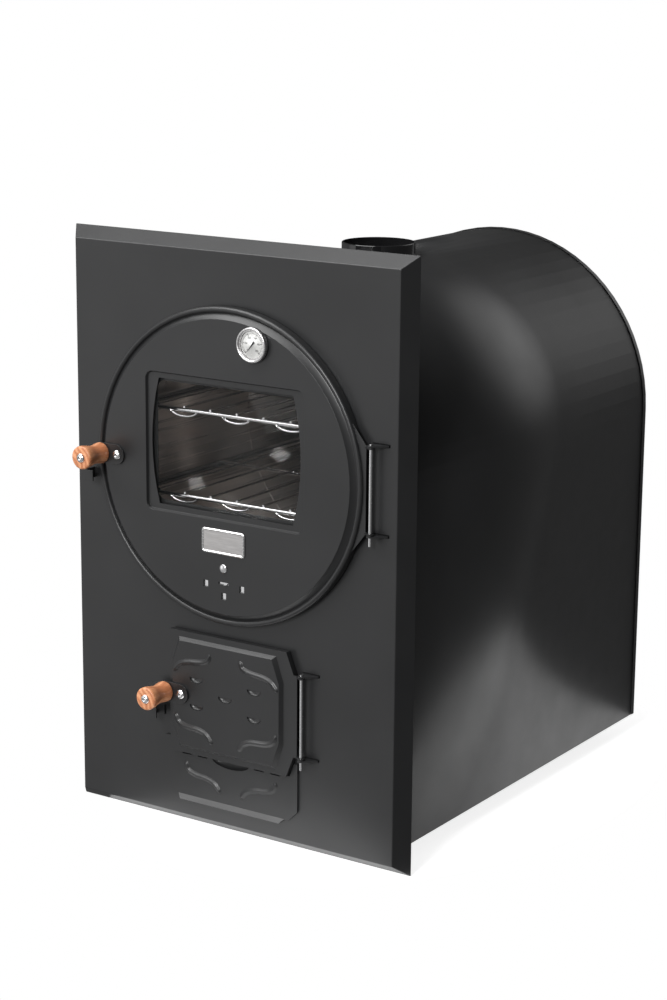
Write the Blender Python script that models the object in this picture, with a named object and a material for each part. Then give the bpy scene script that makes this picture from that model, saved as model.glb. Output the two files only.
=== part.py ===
# Built-in wood oven: a barrel-vaulted casing behind a bevelled front panel, with a round
# glazed oven door, a small fire door and an ash drawer.
# Metres, +Z up. +X is the hinge side, -Y is the front. The origin is the centre of the
# underside of the base plate, on which the casing stands in its masonry.

import math

import bmesh
import bpy
from mathutils import Matrix, Vector

MM = 0.001

# Clearances
GAP = 0.3 * MM                 # between faces that touch on the real oven
RUN = 0.5 * MM                 # beside pieces that slide or turn on each other
OVERRUN = 4 * MM               # how far a cutter passes through what it cuts
SAME = 0.003 * MM              # corners closer than this are one
SHEET = 2 * MM                 # the sheet that the casing, panel and doors are pressed from

# Front panel, a shallow pan with bevelled sides
PANEL_WIDTH = 600 * MM
PANEL_HEIGHT = 893 * MM
PANEL_DEPTH = 24 * MM
PANEL_BEVEL = 18 * MM          # how far the face is set in from the rear edge
PANEL_DROP = 33 * MM           # how far the panel hangs below the base

# Casing
BODY_WIDTH = 552 * MM
BODY_DEPTH = 750 * MM
VAULT_CENTRE_Z = 526 * MM
COVER_RIM_WIDTH = 9 * MM       # how far the rear cover wraps over the casing
COVER_RIM_SHEET = 1.2 * MM

# Oven drum
OVEN_CENTRE_Z = 533.4 * MM
DRUM_RADIUS = 213 * MM         # inside
DRUM_DEPTH = 622 * MM
DRUM_FLANGE = 11 * MM
MOUTH_LIP = 1 * MM             # the panel's opening is this much smaller than the drum

# Racks and their rails
RACK_HEIGHTS = (70.3 * MM, -58.1 * MM)     # over the middle of the drum
RACK_HALF_WIDTH = 188 * MM
RACK_DEPTH = 560 * MM
RACK_SETBACK = 14 * MM         # front rod behind the panel's face
RACK_ROD = 3 * MM
RACK_WIRE = 1.8 * MM
RACK_BITE = 1 * MM             # how far welded wires sink into each other
RACK_WIRES = 7
RACK_CROSS_SHARE = 0.384       # of the rack's depth, where the middle rod lies
RAIL_REACH = 10 * MM           # how far a rail reaches under the rack
RAIL_DEPTH = 600 * MM

# Round oven door, in millimetres in front of the panel's face
DOOR_RADIUS = 233.5 * MM
DOOR_FACE_RADIUS = 216 * MM
DOOR_PROUD = 19 * MM
DOOR_STANDOFF = 2 * MM
ROLL_RADIUS = 4.5 * MM
ROLL_PROUD = 11.5 * MM
ROLL_START_DEG = 170           # where the roll rises out of the groove
GROOVE_PROUD = 12.5 * MM
GROOVE_WIDTH = 2.1 * MM
RAMP_WIDTH = 6.4 * MM

# Window in the round door
WINDOW_HALF_WIDTH = 139.7 * MM
WINDOW_HALF_HEIGHT = 103.3 * MM
WINDOW_CORNER = 12 * MM
WINDOW_RECESS = 4 * MM
WINDOW_Z = 26.2 * MM           # over the middle of the door
OPENING_HALF_WIDTH = 118 * MM
OPENING_HALF_HEIGHT = 93.5 * MM
OPENING_BOW = 13 * MM          # how far the opening's sides bow out
OPENING_CORNER = 6 * MM
GLASS_THICK = 4 * MM
GLASS_HALF_WIDTH = 138 * MM
GLASS_HALF_HEIGHT = 101 * MM
GLASS_FRAME_WIDTH = 20 * MM
GLASS_FRAME_OVERLAP = 8 * MM   # how far the frame reaches past the glass
GLASS_FRAME_SHEET = 1.5 * MM

# Inner plate and seal of the round door
LINER_SHEET = 1.5 * MM
LINER_RADIUS = 227 * MM
SEAL_RADIUS = 221.5 * MM
SEAL_NIP = 0.4 * MM            # seal to panel

# Thermometer on the round door
THERMO_X = 53.7 * MM
THERMO_Z = 186 * MM            # over the middle of the door
THERMO_RADIUS = 25.5 * MM
THERMO_DEPTH = 9 * MM
THERMO_BEZEL = 4.5 * MM
THERMO_NECK = 5 * MM
THERMO_STEM = 3.5 * MM
THERMO_STEM_LENGTH = 62 * MM
DIAL_THICK = 0.8 * MM
DIAL_POST = 1.2 * MM
LENS_THICK = 1.2 * MM
NEEDLE_LENGTH = 15 * MM
NEEDLE_TAIL = 6 * MM
NEEDLE_WIDTH = 1.6 * MM
NEEDLE_THICK = 0.6 * MM
NEEDLE_REST_DEG = 52           # the cold needle under the level, pointing left
NUT_RADIUS = 9 * MM
NUT_THICK = 4 * MM
NUT_SIDES = 6

# Bare badge plate under the window
BADGE_WIDTH = 76 * MM
BADGE_HEIGHT = 37 * MM
BADGE_THICK = 1.2 * MM
BADGE_CORNER = 5 * MM
BADGE_Z = -108 * MM            # over the middle of the door

# Rotary air damper under the badge
DAMPER_Z = -147 * MM
DAMPER_RADIUS = 50 * MM
DAMPER_SHEET = 1 * MM
AIR_HOLE_RADIUS = 42 * MM      # of the arc that the holes lie on
AIR_HOLE_WIDTH = 8.4 * MM
AIR_HOLE_HEIGHT = 10 * MM
AIR_HOLE_STEP_DEG = 50
DAMPER_TURN_DEG = 24
SLIT_RADIUS = 23.5 * MM
SLIT_LENGTH = 18.5 * MM
SLIT_HEIGHT = 2.6 * MM
LUG_WIDTH = 6 * MM
LUG_THICK = 1.4 * MM
LUG_PROUD = 2.5 * MM
RIVET_HEAD = 6.7 * MM
RIVET_HEAD_HEIGHT = 2.8 * MM
RIVET_SHANK = 3 * MM
RIVET_TAIL = 5 * MM
RIVET_TAIL_HEIGHT = 1.6 * MM

# Hinges
PIN_RADIUS = 2.5 * MM
PIN_PROUD = 13 * MM            # pin axis in front of the panel's face
PIN_ABOVE = 1.5 * MM           # pin over the upper ear
PIN_BELOW = 12.8 * MM          # pin under the lower ear
EAR_THICK = 2.5 * MM
EAR_TIP = 5.5 * MM
EAR_TIP_END_DEG = 320          # where a panel ear's round tip meets its slope
EAR_ROOT = 22 * MM             # reach of a panel ear beyond the pin
LEAF_PROUD = 11 * MM           # front of the door leaves
LEAF_SETBACK = 9 * MM          # leaf edge to pin axis
OVEN_PIN_X = 246.5 * MM
OVEN_EAR_RISE = 64 * MM        # panel ears over and under the middle of the door
LEAF_FLANK = 32 * MM           # height of the flank from the ear to the door's rim
BRACKET_WIDTH = 30 * MM

# Latch levers with wooden grips
LEVER_HALF_HEIGHT = 15.2 * MM
LEVER_END_SHIFT = 2.5 * MM     # centre of the round end beside the pivot
LEVER_SHOULDER = 32 * MM       # from the pivot, where the lever starts to taper
LEVER_THICK = 3 * MM
NOSE_END = 61 * MM             # from the pivot
NOSE_HALF_HEIGHT = 7 * MM
GRIP_OFFSET = 28.6 * MM        # grip axis beside the pivot
GRIP_LENGTH = 48 * MM
GRIP_REAR_RADIUS = 15.6 * MM
GRIP_WAIST_RADIUS = 13.8 * MM
GRIP_FRONT_RADIUS = 17.4 * MM
GRIP_WAIST_SHARE = 0.4         # of the grip's length, from its rear
GRIP_ROUND = 2 * MM
GRIP_BORE = 3.4 * MM
GRIP_SCREW_RADIUS = 3 * MM
SCREW_HEAD = 7 * MM
SCREW_HEAD_HEIGHT = 3.2 * MM
PIVOT_SHANK = 3 * MM
PIVOT_NUT = 6 * MM
PIVOT_NUT_THICK = 4 * MM
OVEN_LATCH_X = -192 * MM
OVEN_LATCH_DROP = 2.9 * MM     # pivot below the middle of the door
CATCH_DROP = 29 * MM           # catch top below the pivot
CATCH_HEIGHT = 16 * MM
CATCH_SHEET = 2 * MM
CATCH_REACH = 15 * MM          # lip over the turned nose
CATCH_POST = 58 * MM           # from the pivot to the catch's wall
CATCH_CLEAR = 2 * MM           # before the turned nose
CATCH_FOOT = 14 * MM

# Fire door, a pan with a raised middle
FIRE_HALF_WIDTH = 105 * MM
FIRE_BOTTOM_Z = 87.7 * MM
FIRE_TOP_Z = 276.7 * MM
FIRE_FLANK_X = 118 * MM        # right edge between the ears
FIRE_PROUD = 11 * MM           # flange in front of the panel's face
FIRE_RAISE = 5.7 * MM
RAISE_MARGIN = 9 * MM          # flange above and below the raised middle
RAISE_SLOPE = 4.6 * MM
RAISE_NARROW_HALF = 87.5 * MM
RAISE_WIDE_HALF = 100.5 * MM
RAISE_CHAMFER = 38 * MM
FIRE_PIN_X = 133 * MM
FIRE_EAR_RISE = 63.8 * MM
LOUVER_STEP_X = 52 * MM
LOUVER_STEP_Z = 21 * MM
LOUVER_HALF = 12.5 * MM        # half the width of a pocket
LOUVER_HEIGHT = 8 * MM
LOUVER_DEPTH = 5 * MM
LOUVER_WALL = 1.2 * MM
LOUVER_OPEN = 0.8 * MM         # air gap over a pocket's rim
LOUVER_TOP = 6.4 * MM          # rim of the middle pocket over the middle of the door
FIRE_LATCH_X = -79 * MM
FIRE_LATCH_DROP = 1.1 * MM
SHIELD_HALF_WIDTH = 87 * MM
SHIELD_HALF_HEIGHT = 76 * MM
SHIELD_SHEET = 1.5 * MM
SHIELD_SETBACK = 4.5 * MM      # front of the shield behind the panel's face
STUD_RADIUS = 4 * MM
STUD_X = 55 * MM

# Fire opening, its throat and the fire chamber
FIRE_LAP = 13 * MM             # door over the edge of its opening
THROAT_WIDER = 2 * MM          # throat beside the opening
THROAT_TALLER = 2.7 * MM
THROAT_LENGTH = 47.4 * MM
GUIDE_HALF_WIDTH = 95.5 * MM   # inside, between the two guides
GUIDE_SHEET = 2 * MM
GUIDE_TOP_Z = 92 * MM
GUIDE_FLANGE = 44.5 * MM
GUIDE_LEDGE = 15.5 * MM
GUIDE_LEDGE_Z = 23.7 * MM
GUIDE_PAST = 3 * MM            # guides behind the rear brick
GRATE_HALF_WIDTH = 101 * MM
GRATE_THICK = 10 * MM
GRATE_BARS = 9
GRATE_BORDER = 16 * MM
GRATE_SLOT = 10 * MM
BRICK_THICK = 30 * MM
BRICK_HEIGHT = 167 * MM
BRICK_DEPTH = 424 * MM
BAFFLE_THICK = 3 * MM
BAFFLE_DEPTH = 334 * MM
BAFFLE_LAP = 2 * MM

# Ash drawer
ASH_HALF_WIDTH = 120 * MM
ASH_TOP_Z = 86.2 * MM
ASH_BEND_Z = 17.2 * MM
ASH_CHAMFER = 16 * MM
ASH_LIFT = 1.2 * MM            # plate in front of the panel's face
ASH_LIP = 5.5 * MM
ASH_LIP_HALF = 97 * MM
ASH_LIP_TAPER = 6.5 * MM
HORN_TOP_Z = 107 * MM
HORN_CLEAR = 1.5 * MM
HORN_NARROW = 113.9 * MM
SCOOP_HALF = 34 * MM
SCOOP_HEIGHT = 12 * MM
SCOOP_DEPTH = 9 * MM
NOTCH_X = (51.5 * MM, 80.5 * MM)
NOTCH_WIDTH = 17 * MM
NOTCH_DEPTH = 3.6 * MM
ASH_OPENING_HALF = 97 * MM
ASH_OPENING_LOW_Z = 21 * MM
ASH_OPENING_HIGH_Z = 90 * MM
PAN_SIDE_CLEAR = 1.5 * MM
PAN_TOP_Z = 72 * MM
PAN_DEPTH = 380 * MM
PAN_SHEET = 1.5 * MM

# Flue collar
COLLAR_BORE = 55.2 * MM        # radius that takes a pipe of 110 mm
COLLAR_TOP_Z = 818.5 * MM
COLLAR_FLANGE = 7 * MM
COLLAR_FLANGE_THICK = 2.5 * MM
COLLAR_EDGE = 0.8 * MM         # bevel round the rim
COLLAR_SETBACK = 363 * MM      # of the collar's axis behind the rear edge of the panel

# Numbers of facets
ROUND_FACETS = 72              # of the big circles
MEDIUM_FACETS = 32
SMALL_FACETS = 16
TINY_FACETS = 8                # of wires and of the ears' tips

# Planes and heights that follow
FRONT_Y = -BODY_DEPTH / 2                   # rear edge of the panel
FACE_Y = FRONT_Y - PANEL_DEPTH              # front of the panel
BEHIND_Y = FACE_Y + SHEET + GAP             # first plane behind the panel's sheet
REAR_Y = BODY_DEPTH / 2
COLLAR_Y = FRONT_Y + COLLAR_SETBACK
BODY_HALF = BODY_WIDTH / 2
OVEN_PIN_Y = FACE_Y - PIN_PROUD
FIRE_PIN_Y = FACE_Y - PIN_PROUD
FIRE_MIDDLE_Z = (FIRE_BOTTOM_Z + FIRE_TOP_Z) / 2
MOUTH_RADIUS = DRUM_RADIUS - MOUTH_LIP


def clear_scene():
    for item in list(bpy.data.objects):
        bpy.data.objects.remove(item, do_unlink=True)


def material(name, colour, roughness, metallic):
    """One Principled material, made once for each name."""
    made = bpy.data.materials.get(name)
    if made:
        return made
    made = bpy.data.materials.new(name)
    made.use_nodes = True
    shader = made.node_tree.nodes["Principled BSDF"]
    shader.inputs["Base Color"].default_value = (*colour, 1.0)
    shader.inputs["Roughness"].default_value = roughness
    shader.inputs["Metallic"].default_value = metallic
    return made


def black_paint():
    return material("black_paint", (0.035, 0.036, 0.038), 0.42, 0.0)


def gloss_enamel():
    return material("gloss_enamel", (0.02, 0.02, 0.022), 0.15, 0.0)


def bright_steel():
    return material("bright_steel", (0.75, 0.75, 0.76), 0.2, 1.0)


def brushed_steel():
    return material("brushed_steel", (0.66, 0.66, 0.67), 0.35, 1.0)


def chrome():
    return material("chrome", (0.8, 0.8, 0.82), 0.12, 1.0)


def cast_iron():
    return material("cast_iron", (0.06, 0.06, 0.062), 0.7, 0.4)


def firebrick():
    return material("firebrick", (0.72, 0.6, 0.42), 0.9, 0.0)


def waxed_wood():
    return material("waxed_wood", (0.62, 0.3, 0.14), 0.45, 0.0)


def clear_glass():
    return material("clear_glass", (0.85, 0.88, 0.88), 0.05, 0.0)


def rope_seal():
    return material("rope_seal", (0.55, 0.54, 0.5), 0.95, 0.0)


def white_dial():
    return material("white_dial", (0.9, 0.9, 0.88), 0.5, 0.0)


def black_needle():
    return material("black_needle", (0.01, 0.01, 0.01), 0.4, 0.0)


def place_mesh(name, mesh, finish):
    """Put a mesh in the scene as one named object."""
    item = bpy.data.objects.new(name, mesh)
    bpy.context.scene.collection.objects.link(item)
    if finish is not None:
        mesh.materials.clear()
        mesh.materials.append(finish)
    return item


def solid(name, points, faces, finish=None):
    """A closed solid from its corners and faces, with its normals made to point out."""
    mesh = bpy.data.meshes.new(name)
    mesh.from_pydata(points, [], faces)
    work = bmesh.new()
    work.from_mesh(mesh)
    bmesh.ops.recalc_face_normals(work, faces=work.faces)
    work.to_mesh(mesh)
    work.free()
    return place_mesh(name, mesh, finish)


def along(axis, u, v, w):
    """Turn outline coordinates u, v and a height w into a point. Y outlines are (x, z)."""
    if axis == "X":
        return (w, u, v)
    if axis == "Y":
        return (u, w, v)
    return (u, v, w)


def loft(name, low_outline, high_outline, low, high, axis, finish=None):
    """A solid between two outlines with the same number of points."""
    count = len(low_outline)
    points = [along(axis, u, v, low) for u, v in low_outline]
    points += [along(axis, u, v, high) for u, v in high_outline]
    faces = [list(range(count)), list(range(count, 2 * count))]
    for i in range(count):
        j = (i + 1) % count
        faces.append([i, j, count + j, count + i])
    return solid(name, points, faces, finish)


def extrude(name, outline, low, high, axis, finish=None):
    return loft(name, outline, outline, low, high, axis, finish)


def box(name, low, high, finish=None):
    outline = rectangle(low[0], low[1], high[0], high[1])
    return extrude(name, outline, low[2], high[2], "Z", finish)


def rectangle(x0, z0, x1, z1):
    return [(x0, z0), (x1, z0), (x1, z1), (x0, z1)]


def circle(x, z, radius, count):
    step = math.tau / count
    return [(x + radius * math.cos(i * step), z + radius * math.sin(i * step)) for i in range(count)]


def arc(x, z, radius, start_deg, end_deg, count):
    """Points on an arc, both ends included."""
    out = []
    for i in range(count + 1):
        angle = math.radians(start_deg + (end_deg - start_deg) * i / count)
        out.append((x + radius * math.cos(angle), z + radius * math.sin(angle)))
    return out


def rounded(x, z, half_width, half_height, corner, steps):
    """A rectangle round (x, z) with rounded corners."""
    out = []
    for sign_x, sign_z, start in ((1, 1, 0), (-1, 1, 90), (-1, -1, 180), (1, -1, 270)):
        cx = x + sign_x * (half_width - corner)
        cz = z + sign_z * (half_height - corner)
        out += arc(cx, cz, corner, start, start + 90, steps)
    return out


def vault(half, centre_z, foot_z, count):
    """Outline of the casing: two walls and a half round top."""
    return [(half, foot_z)] + arc(0, centre_z, half, 0, 180, count) + [(-half, foot_z)]


def turn(name, profile, centre, axis, count, finish=None):
    """A turned solid. The profile is (radius, along the axis) and starts and ends on the axis,
    or is a closed loop clear of it."""
    closed = profile[0][0] > 0
    if not closed:
        profile = flat_ends(profile)
    rings = []
    points = []
    for radius, height in profile:
        if radius == 0:
            rings.append([len(points)])
            points.append((0.0, 0.0, height))
            continue
        rings.append(list(range(len(points), len(points) + count)))
        points += [(x, y, height) for x, y in circle(0, 0, radius, count)]
    faces = []
    pairs = list(zip(rings, rings[1:]))
    if closed:
        pairs.append((rings[-1], rings[0]))
    else:
        faces += [ring for ring in (rings[0], rings[-1]) if len(ring) > 1]
    for lower, upper in pairs:
        for i in range(count):
            j = (i + 1) % count
            if len(lower) == 1:
                faces.append([lower[0], upper[i], upper[j]])
            elif len(upper) == 1:
                faces.append([lower[i], lower[j], upper[0]])
            else:
                faces.append([lower[i], lower[j], upper[j], upper[i]])
    spin = {"X": (0, math.pi / 2, 0), "Y": (math.pi / 2, 0, 0), "Z": (0, 0, 0)}[axis]
    turned = Matrix.Rotation(spin[0], 4, "X") @ Matrix.Rotation(spin[1], 4, "Y")
    moved = [tuple(turned @ Vector(p) + Vector(centre)) for p in points]
    item = solid(name, moved, faces, finish)
    item.data.shade_smooth()
    item.data.set_sharp_from_angle(angle=math.radians(40))
    return item


def flat_ends(profile):
    """Drop a point on the axis that only closes a flat end."""
    if profile[0][1] == profile[1][1]:
        profile = profile[1:]
    if profile[-1][1] == profile[-2][1]:
        profile = profile[:-1]
    return profile


def rod(name, start, end, radius, count, finish=None):
    """A straight round rod between two points."""
    start, end = Vector(start), Vector(end)
    way = (end - start).to_track_quat("Z", "Y").to_matrix()
    ring = circle(0, 0, radius, count)
    points = [tuple(way @ Vector((x, y, 0)) + start) for x, y in ring]
    points += [tuple(way @ Vector((x, y, 0)) + end) for x, y in ring]
    faces = [list(range(count)), list(range(count, 2 * count))]
    for i in range(count):
        j = (i + 1) % count
        faces.append([i, j, count + j, count + i])
    return solid(name, points, faces, finish)


def combine(target, tool, how):
    """Apply a Boolean to the target and remove the tool."""
    step = target.modifiers.new(how.lower(), "BOOLEAN")
    step.operation = how
    step.solver = "EXACT"
    step.object = tool
    bpy.context.view_layer.update()
    graph = bpy.context.evaluated_depsgraph_get()
    result = bpy.data.meshes.new_from_object(target.evaluated_get(graph))
    target.modifiers.clear()
    target.data = result
    bpy.data.objects.remove(tool, do_unlink=True)
    return target


def cut(target, *tools):
    for tool in tools:
        combine(target, tool, "DIFFERENCE")
    return target


def join(target, *tools):
    for tool in tools:
        combine(target, tool, "UNION")
    return target


def proud(distance):
    """The plane that lies this far in front of the panel's face."""
    return FACE_Y - distance


def axis_empty(name, place):
    item = bpy.data.objects.new(name, None)
    item.location = place
    bpy.context.scene.collection.objects.link(item)
    return item


def hang(pieces, empty):
    """Parent pieces to the empty on their joint's axis, where they are."""
    bpy.context.view_layer.update()
    for piece in pieces:
        piece.parent = empty
        piece.matrix_parent_inverse = empty.matrix_world.inverted()


# Hinges

def panel_ear(name, pin_x, z):
    """A flat ear with a round tip round the pin, standing out through the panel."""
    pin_y = proud(PIN_PROUD)
    tip = arc(pin_x, pin_y, EAR_TIP, 180, EAR_TIP_END_DEG, TINY_FACETS)
    outline = [(pin_x - EAR_TIP, BEHIND_Y + SHEET)] + tip
    outline += [(pin_x + EAR_ROOT, proud(SHEET)), (pin_x + EAR_ROOT, BEHIND_Y + SHEET)]
    return extrude(name, outline, z, z + EAR_THICK, "Z")


def ear_slot(pin_x, z):
    low = (pin_x - EAR_TIP - RUN, FACE_Y - OVERRUN, z - RUN)
    high = (pin_x + EAR_ROOT + RUN, BEHIND_Y + OVERRUN, z + EAR_THICK + RUN)
    return box("slot", low, high)


def pin_hole(pin_x, low_z, high_z):
    start = (pin_x, proud(PIN_PROUD), low_z)
    return rod("hole", start, (pin_x, proud(PIN_PROUD), high_z), PIN_RADIUS + GAP, SMALL_FACETS)


def ear_heights(middle_z, rise):
    """Lower faces of the lower and the upper panel ear."""
    return middle_z - rise - EAR_THICK / 2, middle_z + rise - EAR_THICK / 2


def hinge_bracket(name, pin_x, middle_z, rise):
    low, high = ear_heights(middle_z, rise)
    left = pin_x - EAR_TIP
    foot_high = (left + BRACKET_WIDTH, BEHIND_Y + SHEET, high + EAR_THICK + SHEET)
    foot = box(name, (left, BEHIND_Y, low - SHEET), foot_high)
    join(foot, panel_ear("ear", pin_x, low), panel_ear("ear", pin_x, high))
    cut(foot, pin_hole(pin_x, low - OVERRUN, high + EAR_THICK + OVERRUN))
    return finish_as(foot, black_paint())


def hinge_pin(name, pin_x, middle_z, rise):
    low, high = ear_heights(middle_z, rise)
    profile = [
        (0, low - PIN_BELOW),
        (PIN_RADIUS, low - PIN_BELOW),
        (PIN_RADIUS, high + EAR_THICK + PIN_ABOVE),
        (0, high + EAR_THICK + PIN_ABOVE),
    ]
    return turn(name, profile, (pin_x, proud(PIN_PROUD), 0), "Z", SMALL_FACETS, bright_steel())


def door_ears(pin_x, middle_z, rise):
    """The two ears of a door leaf, just inside the panel's ears."""
    low, high = ear_heights(middle_z, rise)
    ears = []
    for z in (low + EAR_THICK + RUN, high - RUN - EAR_THICK):
        pin_y = proud(PIN_PROUD)
        tip = arc(pin_x, pin_y, EAR_TIP, -90, 90, TINY_FACETS)
        root_x = pin_x - LEAF_SETBACK - SHEET
        outline = tip + [(root_x, proud(LEAF_PROUD - SHEET)), (root_x, proud(LEAF_PROUD))]
        ears.append(extrude("ear", outline, z, z + EAR_THICK, "Z"))
    return ears


def finish_as(item, finish):
    item.data.materials.clear()
    item.data.materials.append(finish)
    return item


# Casing and panel

def fire_opening():
    """Outline of the fire opening, (x, z)."""
    half = FIRE_HALF_WIDTH - FIRE_LAP
    return rectangle(-half, FIRE_BOTTOM_Z + FIRE_LAP, half, FIRE_TOP_Z - FIRE_LAP)


def make_front_panel():
    half = PANEL_WIDTH / 2
    low, high = -PANEL_DROP, PANEL_HEIGHT - PANEL_DROP
    slope = math.hypot(PANEL_DEPTH, PANEL_BEVEL) / PANEL_DEPTH
    rear_inset = SHEET * slope
    front_inset = PANEL_BEVEL * (PANEL_DEPTH - SHEET) / PANEL_DEPTH + rear_inset

    def inset(amount):
        return rectangle(-half + amount, low + amount, half - amount, high - amount)

    panel = loft("front_panel", inset(0), inset(PANEL_BEVEL), FRONT_Y, FACE_Y, "Y")
    past = OVERRUN * PANEL_BEVEL / PANEL_DEPTH
    rear_ring, front_ring = inset(rear_inset - past), inset(front_inset)
    cut(panel, loft("hollow", rear_ring, front_ring, FRONT_Y + OVERRUN, FACE_Y + SHEET, "Y"))
    front, back = FACE_Y - OVERRUN, BEHIND_Y + OVERRUN
    cut(panel, extrude("mouth", circle(0, OVEN_CENTRE_Z, MOUTH_RADIUS, ROUND_FACETS), back, front, "Y"))
    cut(panel, extrude("fire", fire_opening(), back, front, "Y"))
    ash = rectangle(-ASH_OPENING_HALF, ASH_OPENING_LOW_Z, ASH_OPENING_HALF, ASH_OPENING_HIGH_Z)
    cut(panel, extrude("ash", ash, back, front, "Y"))
    for pin_x, middle_z, rise in HINGES:
        for z in ear_heights(middle_z, rise):
            cut(panel, ear_slot(pin_x, z))
    return finish_as(panel, black_paint())


def make_casing():
    front, rear = BEHIND_Y + SHEET + GAP, REAR_Y - SHEET - GAP
    casing = extrude("outer_casing", vault(BODY_HALF, VAULT_CENTRE_Z, 0, ROUND_FACETS // 2), front, rear, "Y")
    inside = vault(BODY_HALF - SHEET, VAULT_CENTRE_Z, -OVERRUN, ROUND_FACETS // 2)
    cut(casing, extrude("inside", inside, front - OVERRUN, rear + OVERRUN, "Y"))
    bore = rod("bore", (0, COLLAR_Y, VAULT_CENTRE_Z), (0, COLLAR_Y, COLLAR_TOP_Z), COLLAR_BORE, MEDIUM_FACETS)
    cut(casing, bore)
    return finish_as(casing, black_paint())


def make_base():
    half = BODY_HALF - SHEET - GAP
    return box("base_plate", (-half, BEHIND_Y, 0), (half, REAR_Y - SHEET - GAP, SHEET), black_paint())


def make_rear_cover():
    """A plate whose rim wraps over the casing's rear edge, open at the foot."""
    outer = BODY_HALF + GAP + COVER_RIM_SHEET
    front = REAR_Y - COVER_RIM_WIDTH
    cover = extrude("rear_cover", vault(outer, VAULT_CENTRE_Z, 0, ROUND_FACETS // 2), front, REAR_Y, "Y")
    inside = vault(BODY_HALF + GAP, VAULT_CENTRE_Z, -OVERRUN, ROUND_FACETS // 2)
    cut(cover, extrude("inside", inside, front - OVERRUN, REAR_Y - SHEET, "Y"))
    return finish_as(cover, black_paint())


def make_flue_collar():
    """A tube and a saddle flange, both seated on the vault."""
    seat, radius = BODY_HALF + GAP, COLLAR_BORE + SHEET
    low, reach = VAULT_CENTRE_Z + BODY_HALF / 2, radius + COLLAR_FLANGE + OVERRUN
    front, rear = COLLAR_Y - reach, COLLAR_Y + reach
    start, end = (0, COLLAR_Y, low), (0, COLLAR_Y, COLLAR_TOP_Z)
    collar = rod("flue_collar", start, end, radius + COLLAR_FLANGE, MEDIUM_FACETS)
    ring = circle(0, VAULT_CENTRE_Z, seat + COLLAR_FLANGE_THICK, 2 * ROUND_FACETS)
    combine(collar, extrude("shell", ring, front, rear, "Y"), "INTERSECT")
    tube = [
        (0, low),
        (radius, low),
        (radius, COLLAR_TOP_Z - COLLAR_EDGE),
        (radius - COLLAR_EDGE, COLLAR_TOP_Z),
        (0, COLLAR_TOP_Z),
    ]
    join(collar, turn("tube", tube, (0, COLLAR_Y, 0), "Z", MEDIUM_FACETS))
    vault_cutter = circle(0, VAULT_CENTRE_Z, seat, 2 * ROUND_FACETS)
    cut(collar, extrude("vault", vault_cutter, front - OVERRUN, rear + OVERRUN, "Y"))
    bore_start, bore_end = (0, COLLAR_Y, low - OVERRUN), (0, COLLAR_Y, COLLAR_TOP_Z + OVERRUN)
    cut(collar, rod("bore", bore_start, bore_end, COLLAR_BORE, MEDIUM_FACETS))
    return finish_as(collar, gloss_enamel())


# Oven drum and racks

def make_drum():
    """The drum's wall with the flange that fits behind the panel."""
    outer = DRUM_RADIUS + SHEET
    profile = [
        (DRUM_RADIUS, 0),
        (outer + DRUM_FLANGE, 0),
        (outer + DRUM_FLANGE, -SHEET),
        (outer, -SHEET),
        (outer, -DRUM_DEPTH),
        (DRUM_RADIUS, -DRUM_DEPTH),
    ]
    return turn("oven_drum", profile, (0, BEHIND_Y, OVEN_CENTRE_Z), "Y", ROUND_FACETS, brushed_steel())


def make_drum_back():
    front = BEHIND_Y + DRUM_DEPTH + GAP
    outline = circle(0, OVEN_CENTRE_Z, DRUM_RADIUS + SHEET, ROUND_FACETS)
    return extrude("drum_back", outline, front, front + SHEET, "Y", brushed_steel())


def rack_front_y():
    return FACE_Y + RACK_SETBACK


def make_rail(name, side, height):
    """A ledge under one side of a rack, shaped to the drum's wall."""
    top = height - RACK_ROD - GAP
    outline = [(side * (RACK_HALF_WIDTH - RAIL_REACH), top)]
    for z in (top, top - SHEET / 2, top - SHEET):
        reach = math.sqrt((DRUM_RADIUS - GAP) ** 2 - z ** 2)
        outline.append((side * reach, z))
    outline.append((side * (RACK_HALF_WIDTH - RAIL_REACH), top - SHEET))
    outline = [(x, OVEN_CENTRE_Z + z) for x, z in outline]
    start = BEHIND_Y + DRUM_FLANGE
    return extrude(name, outline, start, start + RAIL_DEPTH, "Y", chrome())


def make_rack(name, height):
    """A rod frame with a middle rod across and wires from front to back, welded into one."""
    z = OVEN_CENTRE_Z + height
    front, half = rack_front_y(), RACK_HALF_WIDTH
    rear = front + RACK_DEPTH
    middle = front + RACK_DEPTH * RACK_CROSS_SHARE
    rack = rod(name, (-half, front, z), (half, front, z), RACK_ROD, TINY_FACETS)
    for y in (middle, rear):
        join(rack, rod("cross", (-half, y, z), (half, y, z), RACK_ROD, TINY_FACETS))
    for x in (-half, half):
        join(rack, rod("side", (x, front - RACK_ROD, z), (x, rear + RACK_ROD, z), RACK_ROD, TINY_FACETS))
    wire_z = z + RACK_ROD + RACK_WIRE - RACK_BITE
    for i in range(RACK_WIRES):
        x = -half + 2 * half * (i + 1) / (RACK_WIRES + 1)
        start, end = (x, front, wire_z), (x, rear, wire_z)
        join(rack, rod("wire", start, end, RACK_WIRE, TINY_FACETS))
    return finish_as(rack, chrome())


# Fire chamber

def make_throat():
    """The sleeve between the fire opening and the fire chamber."""
    (x0, z0), _, (x1, z1), _ = fire_opening()
    inner = rectangle(x0 - THROAT_WIDER, z0 - THROAT_TALLER, x1 + THROAT_WIDER, z1 + THROAT_TALLER)
    outer = rectangle(inner[0][0] - SHEET, inner[0][1] - SHEET, inner[2][0] + SHEET, inner[2][1] + SHEET)
    end = BEHIND_Y + THROAT_LENGTH
    throat = extrude("fire_throat", outer, BEHIND_Y, end, "Y")
    cut(throat, extrude("inside", inner, BEHIND_Y - OVERRUN, end + OVERRUN, "Y"))
    return finish_as(throat, black_paint())


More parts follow.
